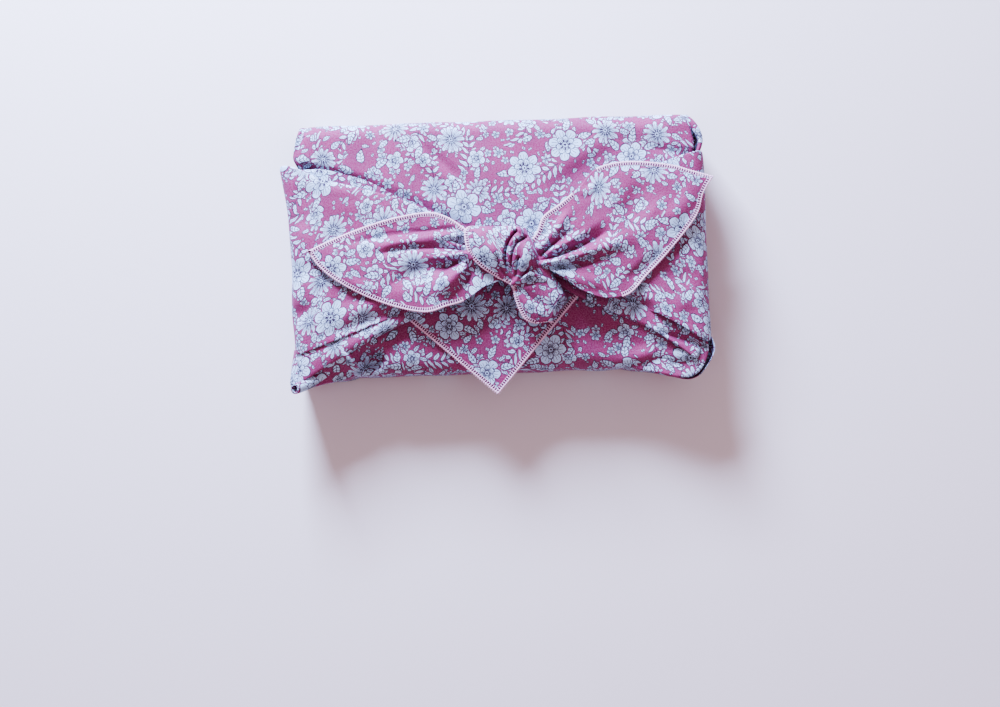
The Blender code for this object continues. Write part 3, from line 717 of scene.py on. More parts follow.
def corner_fold(u, v, stands, foot):
    """Place a point of a corner fold: u round the corner, v from its foot to its tucked top."""
    place = u * (len(stands) - 1)
    top_x, top_y, top_z, low_x, low_y, in_x, in_y, in_z = reading(stands, place)
    climb = min(v / EAR_TURN, 1.0)
    out = ease(climb)
    x = low_x + (top_x - low_x) * out
    y = low_y + (top_y - low_y) * out
    z = foot + (top_z - foot) * climb
    if v > EAR_TURN:
        turn = (v - EAR_TURN) / (1.0 - EAR_TURN)
        inward = turn if in_z > top_z - FLAT_TUCK else turn * turn
        x += (in_x - top_x) * inward
        y += (in_y - top_y) * inward
        z += (in_z - top_z) * math.sin(turn * math.pi / 2)
    swell = crumple(x * EAR_ROUND + y, z, size=16.0, depth=1.2, shift=2.0)
    swell *= math.sin(math.pi * climb)
    return x + swell * EAR_SWELL_X, y - abs(swell) * EAR_SWELL_Y, z


left_ear = partial(corner_fold, stands=LEFT_EAR, foot=EAR_FOOT)
right_ear = partial(corner_fold, stands=RIGHT_EAR, foot=EAR_FOOT)
right_cap = partial(corner_fold, stands=RIGHT_CAP, foot=CAP_FOOT)


def standing_fold(u, v, rims):
    """Place a point of a folded edge that stands up: v from its foot, up, over and down."""
    place = u * (len(rims) - 1)
    x, y, z, thick = reading(rims, place)
    ahead, behind = reading(rims, place + SLOPE_STEP), reading(rims, place - SLOPE_STEP)
    run = Vector((ahead[0] - behind[0], ahead[1] - behind[1])).normalized()
    inward = Vector((-run.y, run.x))
    inward *= -1.0 if inward.x * x > 0.0 else 1.0
    radius = thick / 2
    if v < FOOT_END:
        reach, drop = thick + RIM_FOOT * (1.0 - v / FOOT_END), radius + RIM_DEPTH
    elif v < BACK_END:
        reach, drop = thick, radius + RIM_DEPTH * (BACK_END - v) / (BACK_END - FOOT_END)
    elif v < BEND_END:
        angle = (v - BACK_END) / (BEND_END - BACK_END) * math.pi
        reach, drop = radius * (1.0 + math.cos(angle)), radius * (1.0 - math.sin(angle))
    else:
        reach, drop = 0.0, radius + RIM_DEPTH * (v - BEND_END) / (1.0 - BEND_END)
    return x + inward.x * reach, y + inward.y * reach, z - drop


right_mouth = partial(standing_fold, rims=RIGHT_MOUTH)


def rolled_tip(u, v):
    """Place a point of the rolled end at the left corner: u outwards, v round the roll."""
    start, middle, end = ROLL_PATH
    along = start * (1 - u) ** 2 + middle * 2 * u * (1 - u) + end * u * u
    axis = ((middle - start) * (1 - u) + (end - middle) * u).normalized()
    side = axis.cross(Vector((0, 1, 0))).normalized()
    up = side.cross(axis)
    angle = math.tau * ROLL_TURNS * v + ROLL_START
    radius = (ROLL_RADIUS - ROLL_CORE * v) * (1.0 + (ROLL_TIP - 1.0) * u)
    return tuple(along + (side * math.cos(angle) + up * math.sin(angle)) * radius)


# ---------------------------------------------------------------------- making


def placed(point):
    """Turn millimetres on the wrap into metres round the origin."""
    return Vector((point[0] - CENTRE_X, point[1] - CENTRE_Y, point[2])) * MM


def flat_measure(points):
    """Flat cloth coordinates of a grid of places, in metres, by its own lengths."""
    across = len(points[0])
    middle = across // 2
    flat = []
    along = 0.0
    for i, row in enumerate(points):
        if i:
            along += (row[middle] - points[i - 1][middle]).length
        run = [0.0]
        for j in range(1, across):
            run.append(run[-1] + (row[j] - row[j - 1]).length)
        flat.append([(along, place - run[middle]) for place in run])
    return flat


def seen_measure(points):
    """Flat cloth coordinates that stay true as seen from above, out from the middle row."""
    base = len(points) // 2
    flat = [None] * len(points)
    row = points[base]
    runs = [0.0]
    for a, b in zip(row, row[1:]):
        runs.append(runs[-1] + math.copysign(math.hypot(b.x - a.x, b.z - a.z), b.x - a.x))
    flat[base] = [(-spot.y, run) for spot, run in zip(row, runs)]
    for way, rows in ((1, range(base + 1, len(points))), (-1, range(base - 1, -1, -1))):
        for i in rows:
            flat[i] = []
            for (along, run), a, b in zip(flat[i - way], points[i - way], points[i]):
                along += way * math.hypot(b.y - a.y, b.z - a.z)
                flat[i].append((along, run + b.x - a.x))
    return flat


def add_grid(bm, along, across):
    """Add a flat grid and give each of its points with its row and column."""
    grid = bmesh.ops.create_grid(bm, x_segments=along, y_segments=across, size=0.5)
    return {vert: (round((vert.co.x + 0.5) * along), round((vert.co.y + 0.5) * across))
            for vert in grid["verts"]}


def finished(context, name, bm, *finishes):
    """Make an object of a smooth shape and its finishes."""
    mesh = bpy.data.meshes.new(name)
    for face in bm.faces:
        face.smooth = True
    bm.to_mesh(mesh)
    bm.free()
    piece = bpy.data.objects.new(name, mesh)
    context.collection.objects.link(piece)
    for finish in finishes:
        mesh.materials.append(finish_for(context, finish))
    return piece


def lay_cloth(context, name, shape, steps, start, hems=(), seen=False):
    """Lay a fine grid on a stretch's folds, with the print in its flat measure.

    Steps are the grid's along and across the stretch, start is where its flat measure
    begins, and seen says that the print is measured as it shows from above.
    """
    along, across = steps
    bm = bmesh.new()
    index = add_grid(bm, along, across)
    points = [[None] * (across + 1) for _ in range(along + 1)]
    for vert, (i, j) in index.items():
        vert.co = placed(shape(i / along, j / across))
        points[i][j] = vert.co.copy()
    flat = flat_measure(points)
    if seen:
        flat = seen_measure(points)
    layer = bm.loops.layers.uv.new("cloth")
    for face in bm.faces:
        for loop in face.loops:
            i, j = index[loop.vert]
            loop[layer].uv = Vector(flat[i][j]) + Vector(start)
    bmesh.ops.remove_doubles(bm, verts=bm.verts, dist=MERGE)
    piece = finished(context, name, bm, "printed_cotton_lawn")
    wall = piece.modifiers.new("cloth thickness", "SOLIDIFY")
    wall.thickness = context.scene.furoshiki_cloth.thickness
    wall.offset = 0.0
    dress(piece)
    bound = [lay_hem(context, name + "_hem_" + hem.name, hem.shape or shape, hem)
             for hem in hems]


def dress(piece):
    """Let a finished piece stand for the cloth's solid."""
    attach(piece, BODY)
    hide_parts(NODE)


# ------------------------------------------------------------------- materials


def colour(code, alpha=1.0):
    """Turn an sRGB hex code into linear red, green, blue and alpha."""
    parts = [int(code[i:i + 2], 16) / 255 for i in (1, 3, 5)]
    linear = [c / 12.92 if c <= 0.04045 else ((c + 0.055) / 1.055) ** 2.4 for c in parts]
    return (*linear, alpha)


COLOURS = {"out": 2, "data_type": "RGBA"}   # a mix of colours: its sockets 0, 6 and 7


def put(tree, kind, *inputs, out=0, **settings):
    """Add a node with its settings and links, and give back one of its outputs.

    A kind in capitals is a maths node's operation.  Inputs are values or links in the
    node's own order, or one set of them by the names or numbers of its sockets.
    """
    if kind.isupper():
        kind, settings["operation"] = "Math", kind
    node = tree.nodes.new(kind if kind.startswith("NodeGroup") else "ShaderNode" + kind)
    for key, value in settings.items():
        setattr(node, key, value)
    named = inputs and isinstance(inputs[0], dict)
    for key, value in inputs[0].items() if named else enumerate(inputs):
        if isinstance(value, bpy.types.NodeSocket):
            tree.links.new(value, node.inputs[key])
        elif value is not None:
            node.inputs[key].default_value = value
    return node.outputs[out] if node.outputs else node


def new_material(name):
    """An empty node material and its tree."""
    material = bpy.data.materials.new(name)
    material.use_nodes = True
    material.node_tree.nodes.clear()
    return material, material.node_tree


def new_pattern(name, numbers):
    """An empty pattern: a node group that reads a place on the cloth and some numbers.

    It gives back a pale shape, its drawn lines, and the room that it keeps clear.
    """
    tree = bpy.data.node_groups.new(name, "ShaderNodeTree")
    tree.interface.new_socket("Place", in_out="INPUT", socket_type="NodeSocketVector")
    for number in ("Turn", "Shift", "Cell", "Line", "Share") + numbers:
        tree.interface.new_socket(number, in_out="INPUT", socket_type="NodeSocketFloat")
    for result in ("Shape", "Ink", "Keep"):
        tree.interface.new_socket(result, in_out="OUTPUT", socket_type="NodeSocketFloat")
    return tree, put(tree, "NodeGroupInput").node.outputs


def cell_places(add, given):
    """Scatter one motif to a cell: where a point lies from its motif's heart.

    Cell is the spacing in millimetres; the results are in shares of that spacing.
    """
    spot = add("VectorRotate", {"Vector": given["Place"], "Angle": given["Turn"]},
               rotation_type="Z_AXIS")
    spot = add("VectorMath", {0: spot, "Scale": add("DIVIDE", 1.0 / MM, given["Cell"])},
               operation="SCALE")
    spot = add("VectorMath", spot, given["Shift"], operation="ADD")
    cells = add("TexVoronoi", {"Vector": spot, "Scale": 1.0, "Randomness": CELL_CHANCE},
                voronoi_dimensions="2D").node.outputs
    luck = add("SeparateColor", cells["Color"]).node.outputs
    away = add("VectorMath", spot, cells["Position"], operation="SUBTRACT")
    return cells["Distance"], away, luck, cells["Position"]


# The motifs' shapes.  Lengths are shares of a motif, and a line is its own thin line.
CELL_CHANCE = 0.55       # how freely a motif stands in its cell
FINE = 0.6               # width of the finest lines
FLOWER_LEAST, FLOWER_MORE = 0.84, 0.3    # least size of a flower, and what chance adds
FLOWER_ROOM, LEAF_ROOM = 3.2, 2.6    # lines that a motif keeps clear round itself
VEIN_AT, VEIN_LINE = 0.27, 0.45      # where veins run on a petal, and how thin
VEIN_FROM, VEIN_TO = 0.28, 0.8       # radii between which they run
HEART = 0.17             # radius of a flower's heart
SEEDS = 0.4              # radius of its dark middle, in hearts
STAMENS_FROM, STAMENS_TO = 0.6, 1.9  # the same for the fine strokes round it
STAMENS, STAMEN_WIDTH = 21.0, 0.2    # how many strokes, and their share of the way round
LEAF_BEND, LEAF_TIP = -0.22, 0.78    # how far a leaf curves, and how blunt it ends
RIBS, RIB_LEAN, RIB_WIDTH = 4.5, -0.9, 0.1   # side ribs, how they lean, and their width
RIB_FOOT = 0.02          # half width that a leaf's ribs start from
STEM_BEND = 3.2          # how far a spray's stem may curve
LEAFLET_LEAN, LEAFLET_TIP = -0.7, 0.8    # how its leaflets lean, and how blunt they end
LEAFLET_FIRST, LEAFLET_TAPER = 0.8, -0.35    # their length at the middle, and its change
LEAFLET_RIB, LEAFLET_RIB_END = 0.5, 0.75     # width and end of a leaflet's midrib
LEAFLET_ROOM = 1.1       # how far past its tip a leaflet keeps clear


def turn_about(add, away, start):
    """Turns round a motif's heart, from a start that chance gives, and never below 0."""
    sides = add("SeparateXYZ", away).node.outputs
    turn = add("ARCTAN2", sides[1], sides[0])
    turn = add("MULTIPLY_ADD", turn, 1.0 / math.tau, start)
    return add("ADD", turn, 2.0)


def outline(add, inside, line):
    """The thin line along a shape's edge."""
    return add("LESS_THAN", add("ABSOLUTE", inside), line)


def within(add, inside, line, lines):
    """A shape and so many lines' width round it."""
    return add("GREATER_THAN", inside, add("MULTIPLY", line, -lines))


def petal_row(add, radius, turn, count, notch, blunt, line):
    """A row of petals round a heart, by the distance and turn of a point from it.

    Gives how far inside the petals a point is, and the lines between and along them.
    """
    ring = add("FRACT", add("MULTIPLY", turn, count))
    side = add("ABSOLUTE", add("MULTIPLY_ADD", ring, 2.0, -1.0))
    dip = add("MULTIPLY", add("POWER", side, blunt), notch)
    inside = add("SUBTRACT", add("SUBTRACT", 1.0, dip), radius)
    arc = add("MULTIPLY", add("DIVIDE", radius, count), math.pi)
    gap = add("MULTIPLY", add("SUBTRACT", 1.0, side), arc)
    between_petals = add("LESS_THAN", gap, line)
    vein = add("MULTIPLY", add("PINGPONG", side, VEIN_AT), arc)
    vein = add("LESS_THAN", vein, add("MULTIPLY", line, VEIN_LINE))
    vein = add("MULTIPLY", vein, add("GREATER_THAN", radius, VEIN_FROM))
    vein = add("MULTIPLY", vein, add("LESS_THAN", radius, VEIN_TO))
    rim = outline(add, inside, line)
    lines = add("MAXIMUM", between_petals, vein)
    lines = add("MULTIPLY", lines, add("GREATER_THAN", inside, 0.0))
    return inside, add("MAXIMUM", lines, rim)


def flower_pattern():
    """Flowers of one or two rows of petals, one to a cell.

    Reach is a flower's radius as a share of its cell, Inner its second row's share of
    that; Petals and More are how many petals it has; Notch and Blunt shape their ends.
    """
    tree, given = new_pattern("flower_scatter",
                              ("Reach", "Petals", "More", "Notch", "Blunt", "Inner"))
    add = partial(put, tree)
    distance, away, luck, _heart = cell_places(add, given)
    size = add("MULTIPLY_ADD", luck[1], FLOWER_MORE, FLOWER_LEAST)
    size = add("MULTIPLY", size, given["Reach"])
    radius = add("DIVIDE", distance, size)
    line = add("DIVIDE", given["Line"], add("MULTIPLY", given["Cell"], size))
    turn = turn_about(add, away, luck[0])
    more = add("FLOOR", add("MULTIPLY", luck[2], given["More"]))
    petals = add("ADD", given["Petals"], more), given["Notch"], given["Blunt"]
    inside, ink = petal_row(add, radius, turn, *petals, line)

    inner_turn = add("ADD", turn, add("DIVIDE", 0.5, petals[0]))
    inner_radius = add("DIVIDE", radius, given["Inner"])
    inner_line = add("DIVIDE", line, given["Inner"])
    inner, inner_ink = petal_row(add, inner_radius, inner_turn, *petals, inner_line)
    outer = add("SUBTRACT", 1.0, add("GREATER_THAN", inner, 0.0))
    ink = add("MAXIMUM", add("MULTIPLY", ink, outer), inner_ink)

    ink = add("MULTIPLY", ink, add("GREATER_THAN", radius, HEART))
    ring = add("ABSOLUTE", add("SUBTRACT", radius, HEART))
    ring = add("LESS_THAN", ring, add("MULTIPLY", line, FINE))
    stamens = add("PINGPONG", add("MULTIPLY", turn, STAMENS), 0.5)
    stamens = add("LESS_THAN", stamens, STAMEN_WIDTH)
    stamens = add("MULTIPLY", stamens, add("LESS_THAN", radius, HEART * STAMENS_TO))
    stamens = add("MULTIPLY", stamens, add("GREATER_THAN", radius, HEART * STAMENS_FROM))
    seeds = add("LESS_THAN", radius, HEART * SEEDS)
    heart = add("MAXIMUM", ring, add("MAXIMUM", stamens, seeds))
    ink = add("MAXIMUM", ink, heart)

    reach = within(add, inside, line, 1.0)
    keep = within(add, inside, line, FLOWER_ROOM)
    shape = add("GREATER_THAN", inside, 0.0)
    kept = add("LESS_THAN", luck[2], given["Share"])
    put(tree, "NodeGroupOutput", {
        "Shape": add("MULTIPLY", shape, kept),
        "Ink": add("MULTIPLY", add("MULTIPLY", ink, reach), kept),
        "Keep": add("MULTIPLY", keep, kept)})
    return tree


def leaf_lines(add, lateral, way, half, line):
    """A leaf: how far inside a point is, and its outline, midrib and side ribs.

    lateral is the distance from the midrib, way the share of the leaf's length and half
    its half width there.
    """
    inside = add("SUBTRACT", half, lateral)
    rim = outline(add, inside, line)
    midrib = add("LESS_THAN", lateral, add("MULTIPLY", line, FINE))
    lean = add("DIVIDE", lateral, add("ADD", half, RIB_FOOT))
    rib = add("MULTIPLY_ADD", way, RIBS, add("MULTIPLY", lean, RIB_LEAN))
    rib = add("LESS_THAN", add("PINGPONG", rib, 0.5), RIB_WIDTH)
    ink = add("MAXIMUM", add("MAXIMUM", rim, midrib), rib)
    return inside, add("MULTIPLY", ink, within(add, inside, line, 1.0))


def leaf_pattern():
    """Leaves set round each heart of a scatter, to go with the flowers on it.

    Start and Length are shares of the cell, Leaves is how many places a heart has for
    them, Width a leaf's half width as a share of its length.
    """
    tree, given = new_pattern("leaf_scatter", ("Start", "Length", "Leaves", "Width"))
    add = partial(put, tree)
    distance, away, luck, heart = cell_places(add, given)
    turn = add("MULTIPLY", turn_about(add, away, luck[1]), given["Leaves"])
    place = add("FLOOR", turn)
    chance = add("TexWhiteNoise", {"Vector": heart, "W": place}, noise_dimensions="4D")
    kept = add("LESS_THAN", chance, given["Share"])
    side = add("MULTIPLY_ADD", add("FRACT", turn), 2.0, -1.0)
    arc = add("MULTIPLY", add("DIVIDE", math.pi, given["Leaves"]), distance)
    way = add("DIVIDE", add("SUBTRACT", distance, given["Start"]), given["Length"])
    bend = add("MULTIPLY", add("MULTIPLY", way, way), given["Length"])
    lateral = add("MULTIPLY", side, arc)
    lateral = add("ABSOLUTE", add("MULTIPLY_ADD", bend, LEAF_BEND, lateral))
    body = add("POWER", add("MAXIMUM", way, 0.0), LEAF_TIP)
    body = add("SINE", add("MULTIPLY", body, math.pi))
    half = add("MULTIPLY", add("MULTIPLY", given["Width"], given["Length"]), body)
    line = add("DIVIDE", given["Line"], given["Cell"])
    inside, ink = leaf_lines(add, lateral, way, half, line)
    on_leaf = add("ABSOLUTE", add("SUBTRACT", way, 0.5))
    on_leaf = add("MULTIPLY", add("LESS_THAN", on_leaf, 0.5), kept)
    room = within(add, inside, line, LEAF_ROOM)
    shape = add("GREATER_THAN", inside, 0.0)
    put(tree, "NodeGroupOutput", {
        "Shape": add("MULTIPLY", shape, on_leaf),
        "Ink": add("MULTIPLY", ink, on_leaf),
        "Keep": add("MULTIPLY", room, on_leaf)})
    return tree


def spray_pattern():
    """Curved stems with paired leaflets, one to a cell.

    Reach is half a stem's length, Step the space between leaflets and Length theirs, all
    as shares of the cell; Width is a leaflet's half width as a share of the step.
    """
    tree, given = new_pattern("spray_scatter", ("Reach", "Step", "Length", "Width"))
    add = partial(put, tree)
    _distance, away, luck, _heart = cell_places(add, given)
    spin = add("MULTIPLY", luck[0], math.tau)
    away = add("VectorRotate", {"Vector": away, "Angle": spin}, rotation_type="Z_AXIS")
    sides = add("SeparateXYZ", away).node.outputs
    along = sides[0]
    bend = add("MULTIPLY", add("ADD", luck[1], -0.5), STEM_BEND)
    bow = add("MULTIPLY", add("MULTIPLY", along, along), bend)
    lateral = add("ABSOLUTE", add("SUBTRACT", sides[1], bow))
    line = add("DIVIDE", given["Line"], given["Cell"])
    share = add("DIVIDE", along, given["Reach"])
    on_stem = add("LESS_THAN", add("ABSOLUTE", share), 1.0)
    on_stem = add("MULTIPLY", on_stem, add("LESS_THAN", luck[2], given["Share"]))
    stem = add("LESS_THAN", lateral, line)
    steps = add("DIVIDE", add("MULTIPLY_ADD", lateral, LEAFLET_LEAN, along), given["Step"])
    across = add("ADD", add("FRACT", steps), -0.5)
    across = add("MULTIPLY", add("ABSOLUTE", across), given["Step"])
    taper = add("MULTIPLY_ADD", share, LEAFLET_TAPER, LEAFLET_FIRST)
    way = add("DIVIDE", lateral, add("MULTIPLY", given["Length"], taper))
    body = add("MULTIPLY", add("POWER", way, LEAFLET_TIP), math.pi)
    body = add("SINE", body)
    half = add("MULTIPLY", add("MULTIPLY", given["Step"], given["Width"]), body)
    inside = add("SUBTRACT", half, across)
    on_leaf = add("MULTIPLY", add("LESS_THAN", way, 1.0), on_stem)
    rim = outline(add, inside, line)
    midrib = add("LESS_THAN", across, add("MULTIPLY", line, LEAFLET_RIB))
    midrib = add("MULTIPLY", midrib, add("LESS_THAN", way, LEAFLET_RIB_END))
    ink = add("MULTIPLY", add("MAXIMUM", rim, midrib), on_leaf)
    ink = add("MAXIMUM", ink, add("MULTIPLY", stem, on_stem))
    shape = add("GREATER_THAN", inside, 0.0)
    room = add("MULTIPLY", add("LESS_THAN", way, LEAFLET_ROOM), on_stem)
    put(tree, "NodeGroupOutput", {
        "Shape": add("MULTIPLY", shape, on_leaf), "Ink": ink, "Keep": room})
    return tree


# The print's layers, from the top one down: pattern, its spacing and thin line in
# millimetres, how much of it is kept, its own turn and shift, and its own numbers.
Layer = namedtuple("Layer", "pattern cell line share turn shift numbers")

PRINT_LAYERS = table(Layer,
    ("flower", 39.0, 0.26, 0.60, 0.5, 3.0, {
        "Reach": 0.27, "Petals": 6.0, "More": 2.9, "Notch": 0.36, "Blunt": 2.4, "Inner": 0.56}),
    ("leaf", 39.0, 0.23, 0.58, 0.5, 3.0, {
        "Start": 0.23, "Length": 0.26, "Leaves": 6.0, "Width": 0.24}),
    ("flower", 33.0, 0.24, 0.56, 1.3, 11.0, {
        "Reach": 0.28, "Petals": 11.0, "More": 3.9, "Notch": 0.62, "Blunt": 2.4,
        "Inner": 0.001}),
    ("leaf", 33.0, 0.20, 0.45, 1.3, 11.0, {
        "Start": 0.26, "Length": 0.24, "Leaves": 5.0, "Width": 0.26}),
    ("flower", 20.0, 0.22, 0.46, 0.9, 23.0, {
        "Reach": 0.28, "Petals": 5.0, "More": 1.9, "Notch": 0.38, "Blunt": 2.6, "Inner": 0.52}),
    ("leaf", 20.0, 0.18, 0.48, 0.9, 23.0, {
        "Start": 0.24, "Length": 0.28, "Leaves": 5.0, "Width": 0.25}),
    ("flower", 13.5, 0.20, 0.46, 2.6, 17.0, {
        "Reach": 0.29, "Petals": 6.0, "More": 2.9, "Notch": 0.5, "Blunt": 2.0,
        "Inner": 0.001}),
    ("spray", 30.0, 0.20, 0.80, 2.1, 31.0, {
        "Reach": 0.46, "Step": 0.15, "Length": 0.22, "Width": 0.34}),
    ("flower", 9.0, 0.17, 0.40, 0.3, 47.0, {
        "Reach": 0.30, "Petals": 5.0, "More": 1.9, "Notch": 0.45, "Blunt": 2.2,
        "Inner": 0.001}),
    ("flower", 4.6, 0.13, 0.36, 1.7, 61.0, {
        "Reach": 0.28, "Petals": 2.0, "More": 2.9, "Notch": 0.5, "Blunt": 1.6,
        "Inner": 0.001}),
)


# sizes on the cloth, in millimetres; the weave's tufts are coarser than the lawn's threads,
# which are too fine to show
HAND_WAVE, HAND_SHIFT = 4.0, 2.2     # how the motifs waver, as printed by hand
CLOUD = 16.0             # soft patches where the colours change their tone
TUFT, SLUB = 0.9, 8.0    # small tufts and long thick places of the yarn
TUFT_RELIEF, FUZZ_RELIEF = 0.4, 0.2  # how deep the light finds the yarn and the thread
FUZZ = 0.6               # size of the overlock thread's fuzz
BLOOM_FROM, BLOOM_TO, BLOOM = 0.36, 0.64, 0.14   # tufts where pale fibres show, how much


def printed_lawn(sizes):
    """Cotton lawn, plain woven and screen printed: matt, dry, a crisp two-tone print.

    The eye sees pale blue flowers and leaves with thin violet lines on a mauve pink
    ground, and a very fine weave that only breaks the light a little.
    """
    material, tree = new_material("printed_cotton_lawn")
    add = partial(put, tree)
    patterns = {"flower": flower_pattern(), "leaf": leaf_pattern(), "spray": spray_pattern()}

    flat = add("UVMap", uv_map="cloth")
    wave = 1.0 / (HAND_WAVE * MM)
    wobble = add("TexNoise", {"Vector": flat, "Scale": wave, "Detail": 3.0}, out=1)
    wobble = add("VectorMath", wobble, (0.5, 0.5, 0.5), operation="SUBTRACT")
    wobble = add("VectorMath", {0: wobble, "Scale": HAND_SHIFT * MM}, operation="SCALE")
    hand = add("VectorMath", flat, wobble, operation="ADD")
    shape, ink, free = 0.0, 0.0, 1.0
    for layer in PRINT_LAYERS:
        drawn = add("Group", {
            "Place": hand, "Turn": layer.turn, "Shift": layer.shift, "Cell": layer.cell,
            "Line": layer.line, "Share": layer.share, **layer.numbers},
            node_tree=patterns[layer.pattern]).node.outputs
        seen = [add("MULTIPLY", drawn[i], free) for i in range(3)]
        shape = add("MAXIMUM", shape, seen[0])
        ink = add("MAXIMUM", ink, seen[1])
        free = add("SUBTRACT", free, seen[2])

    cloudy = add("TexNoise", {"Vector": flat, "Scale": 1.0 / (CLOUD * MM), "Detail": 3.0})
    deep, lit = colour(sizes.ground_dark), colour(sizes.ground)
    ground = add("Mix", {0: cloudy, 6: deep, 7: lit}, **COLOURS)
    light, cool = colour(sizes.flower), colour(sizes.flower_shade)
    pale = add("Mix", {0: cloudy, 6: light, 7: cool}, **COLOURS)
    tone = add("Mix", {0: shape, 6: ground, 7: pale}, **COLOURS)
    tone = add("Mix", {0: ink, 6: tone, 7: colour(sizes.ink)}, **COLOURS)

    thread = add("TexNoise", {"Vector": flat, "Scale": 1.0 / (TUFT * MM), "Detail": 2.0})
    slub = add("TexNoise", {"Vector": flat, "Scale": 1.0 / (SLUB * MM), "Detail": 4.0})
    bloom = add("MapRange", {0: thread, 1: BLOOM_FROM, 2: BLOOM_TO, 3: 0.0, 4: BLOOM})
    tone = add("Mix", {0: bloom, 6: tone, 7: colour(sizes.bloom)}, **COLOURS)
    height = add("MULTIPLY_ADD", thread, 0.25, slub)
    bump = add("Bump", {"Strength": 0.35, "Distance": TUFT_RELIEF * MM, "Height": height})
    shader = add("BsdfPrincipled", {
        "Base Color": tone, "Roughness": 0.72, "Normal": bump, "Sheen Weight": 0.15,
        "Sheen Roughness": 0.5, "Sheen Tint": colour("#E0D0FF"), "Specular IOR Level": 0.5})
    through = add("BsdfTranslucent", {"Color": tone, "Normal": bump})
    shader = add("MixShader", {0: sizes.glow, 1: shader, 2: through})
    add("OutputMaterial", shader)
    return material


def overlock_thread(sizes):
    """Texturised polyester overlock thread: soft, pale lilac pink and slightly fuzzy."""
    material, tree = new_material("polyester_overlock")
    add = partial(put, tree)
    place = add("TexCoord", out=3)
    fuzz = add("TexNoise", {"Vector": place, "Scale": 1.0 / (FUZZ * MM), "Detail": 2.0})
    tone = add("Mix", {0: fuzz, 6: colour(sizes.thread_dark), 7: colour(sizes.thread)},
               **COLOURS)
    bump = add("Bump", {"Strength": 0.4, "Distance": FUZZ_RELIEF * MM, "Height": fuzz})
    shader = add("BsdfPrincipled", {
        "Base Color": tone, "Roughness": 0.7, "Normal": bump, "Sheen Weight": 0.2})
    add("OutputMaterial", shader)
    return material


def painted_gap_shade(sizes):
    """Painted shade under the overlock: a dark plum sheet that stands for the shade in the gaps
    from one thread to the next.
    """
    material, tree = new_material("painted_shade_under_stitches")
    gap = colour(sizes.gap_shade_colour)
    shader = put(tree, "BsdfPrincipled", {"Base Color": gap, "Roughness": 0.9})
    put(tree, "OutputMaterial", shader)
    return material


def plain_floor():
    """Matt painted board: plain and pale, so that only the cloth draws the eye."""
    material, tree = new_material("matt_painted_board")
    shader = put(tree, "BsdfPrincipled", {"Base Color": colour("#E9E6E6"), "Roughness": 0.9})
    put(tree, "OutputMaterial", shader)
    return material


# -------------------------------------------------------------------- overlock


Hem = namedtuple("Hem", "name side start stop shape", defaults=(None,))

LEFT_TAIL_HEMS = (Hem("upper", 0, 0.0, 0.93), Hem("lower", 1, 0.0, 0.81))
RIGHT_TAIL_HEMS = (
    Hem("far", 0, 0.0, 0.48), Hem("knot", 0, 0.64, 0.92), Hem("near", 1, 0.0, 0.62))
FLAP_HEMS = (Hem("edge", 1, 0.2, 0.8),)
KNOT_HEMS = (
    Hem("edge", 0, 0.125, 0.75),
    Hem("end", 0, 0.0, 1.0, lambda u, v: knot_wrap(0.75 - 0.2 * v, u)))


def hem_frames(shape, hem):
    """Even steps along a hem: the cloth's edge, the seam's inner side and its face."""
    def at(u, inner):
        return placed(shape(u, abs(hem.side - inner)))

    fine = [hem.start + (hem.stop - hem.start) * i / HEM_SAMPLES
            for i in range(HEM_SAMPLES + 1)]
    edge = [at(u, 0.0) for u in fine]
    runs = [0.0]
    for a, b in zip(edge, edge[1:]):
        runs.append(runs[-1] + (b - a).length)
    count = max(2, round(runs[-1] / (STITCH_PITCH * MM)))
    frames = []
    k = 0
    for n in range(count + 1):
        want = runs[-1] * n / count
        while k < HEM_SAMPLES - 1 and runs[k + 1] < want:
            k += 1
        share = (want - runs[k]) / max(runs[k + 1] - runs[k], 1e-9)
        u = fine[k] + (fine[k + 1] - fine[k]) * share
        ahead = (edge[min(k + 2, HEM_SAMPLES)] - edge[max(k - 1, 0)]).normalized()
        place = at(u, 0.0)
        probe = at(u, HEM_PROBE)
        way = probe - place
        way -= ahead * way.dot(ahead)
        inner = at(u, min(HEM_PROBE * HEM_WIDTH * MM / max(way.length, 1e-6), 0.5))
        way = inner - place
        way -= ahead * way.dot(ahead)
        way = way.normalized() if way.length > 1e-6 else frames[-1][1]
        face = way.cross(ahead)
        face = face if face.z > 0 else -face
        frames.append((place, way, face.normalized(), ahead))
    return frames


# a hem's section: how far in from the cloth's edge and how far off its face, in mm
HEM_SECTION = (
    (0.95, 0.22), (0.8, 0.36), (0.4, 0.44), (0.0, 0.38), (-0.3, 0.0),
    (0.1, -0.46), (1.2, -0.46), (2.6, -0.26))
# the bed under the loops: a sheet that carries the painted shade between the threads
HEM_SHADE_BED = ((2.45, 0.24), (2.1, 0.30), (1.5, 0.31), (0.85, 0.30))

# A stitch's loops of thread, in mm: how far in from the edge and how far off the face, their
# half lengths inwards, off the face and along the edge, their half width and half height.
Loop = namedtuple("Loop", "inward off across up along wide high")

STITCH_LOOPS = table(Loop,
    (0.42, 0.42, 0.66, 0.0, STITCH_SLANT, 0.70, 0.15),
    (1.50, 0.40, 0.95, 0.0, STITCH_SLANT, 0.40, 0.15),
    (2.48, 0.32, 0.0, 0.0, 0.80, 0.24, 0.14),
    (-0.28, 0.0, 0.0, 0.46, STITCH_SLANT, 0.64, 0.14),
)


def thread_loop():
    """One loop of thread, of unit size: it is scaled and turned to its place."""
    mesh = bpy.data.meshes.new("thread_loop")
    bm = bmesh.new()
    bmesh.ops.create_uvsphere(bm, u_segments=6, v_segments=4, radius=1.0)
    bm.to_mesh(mesh)
    bm.free()
    return mesh


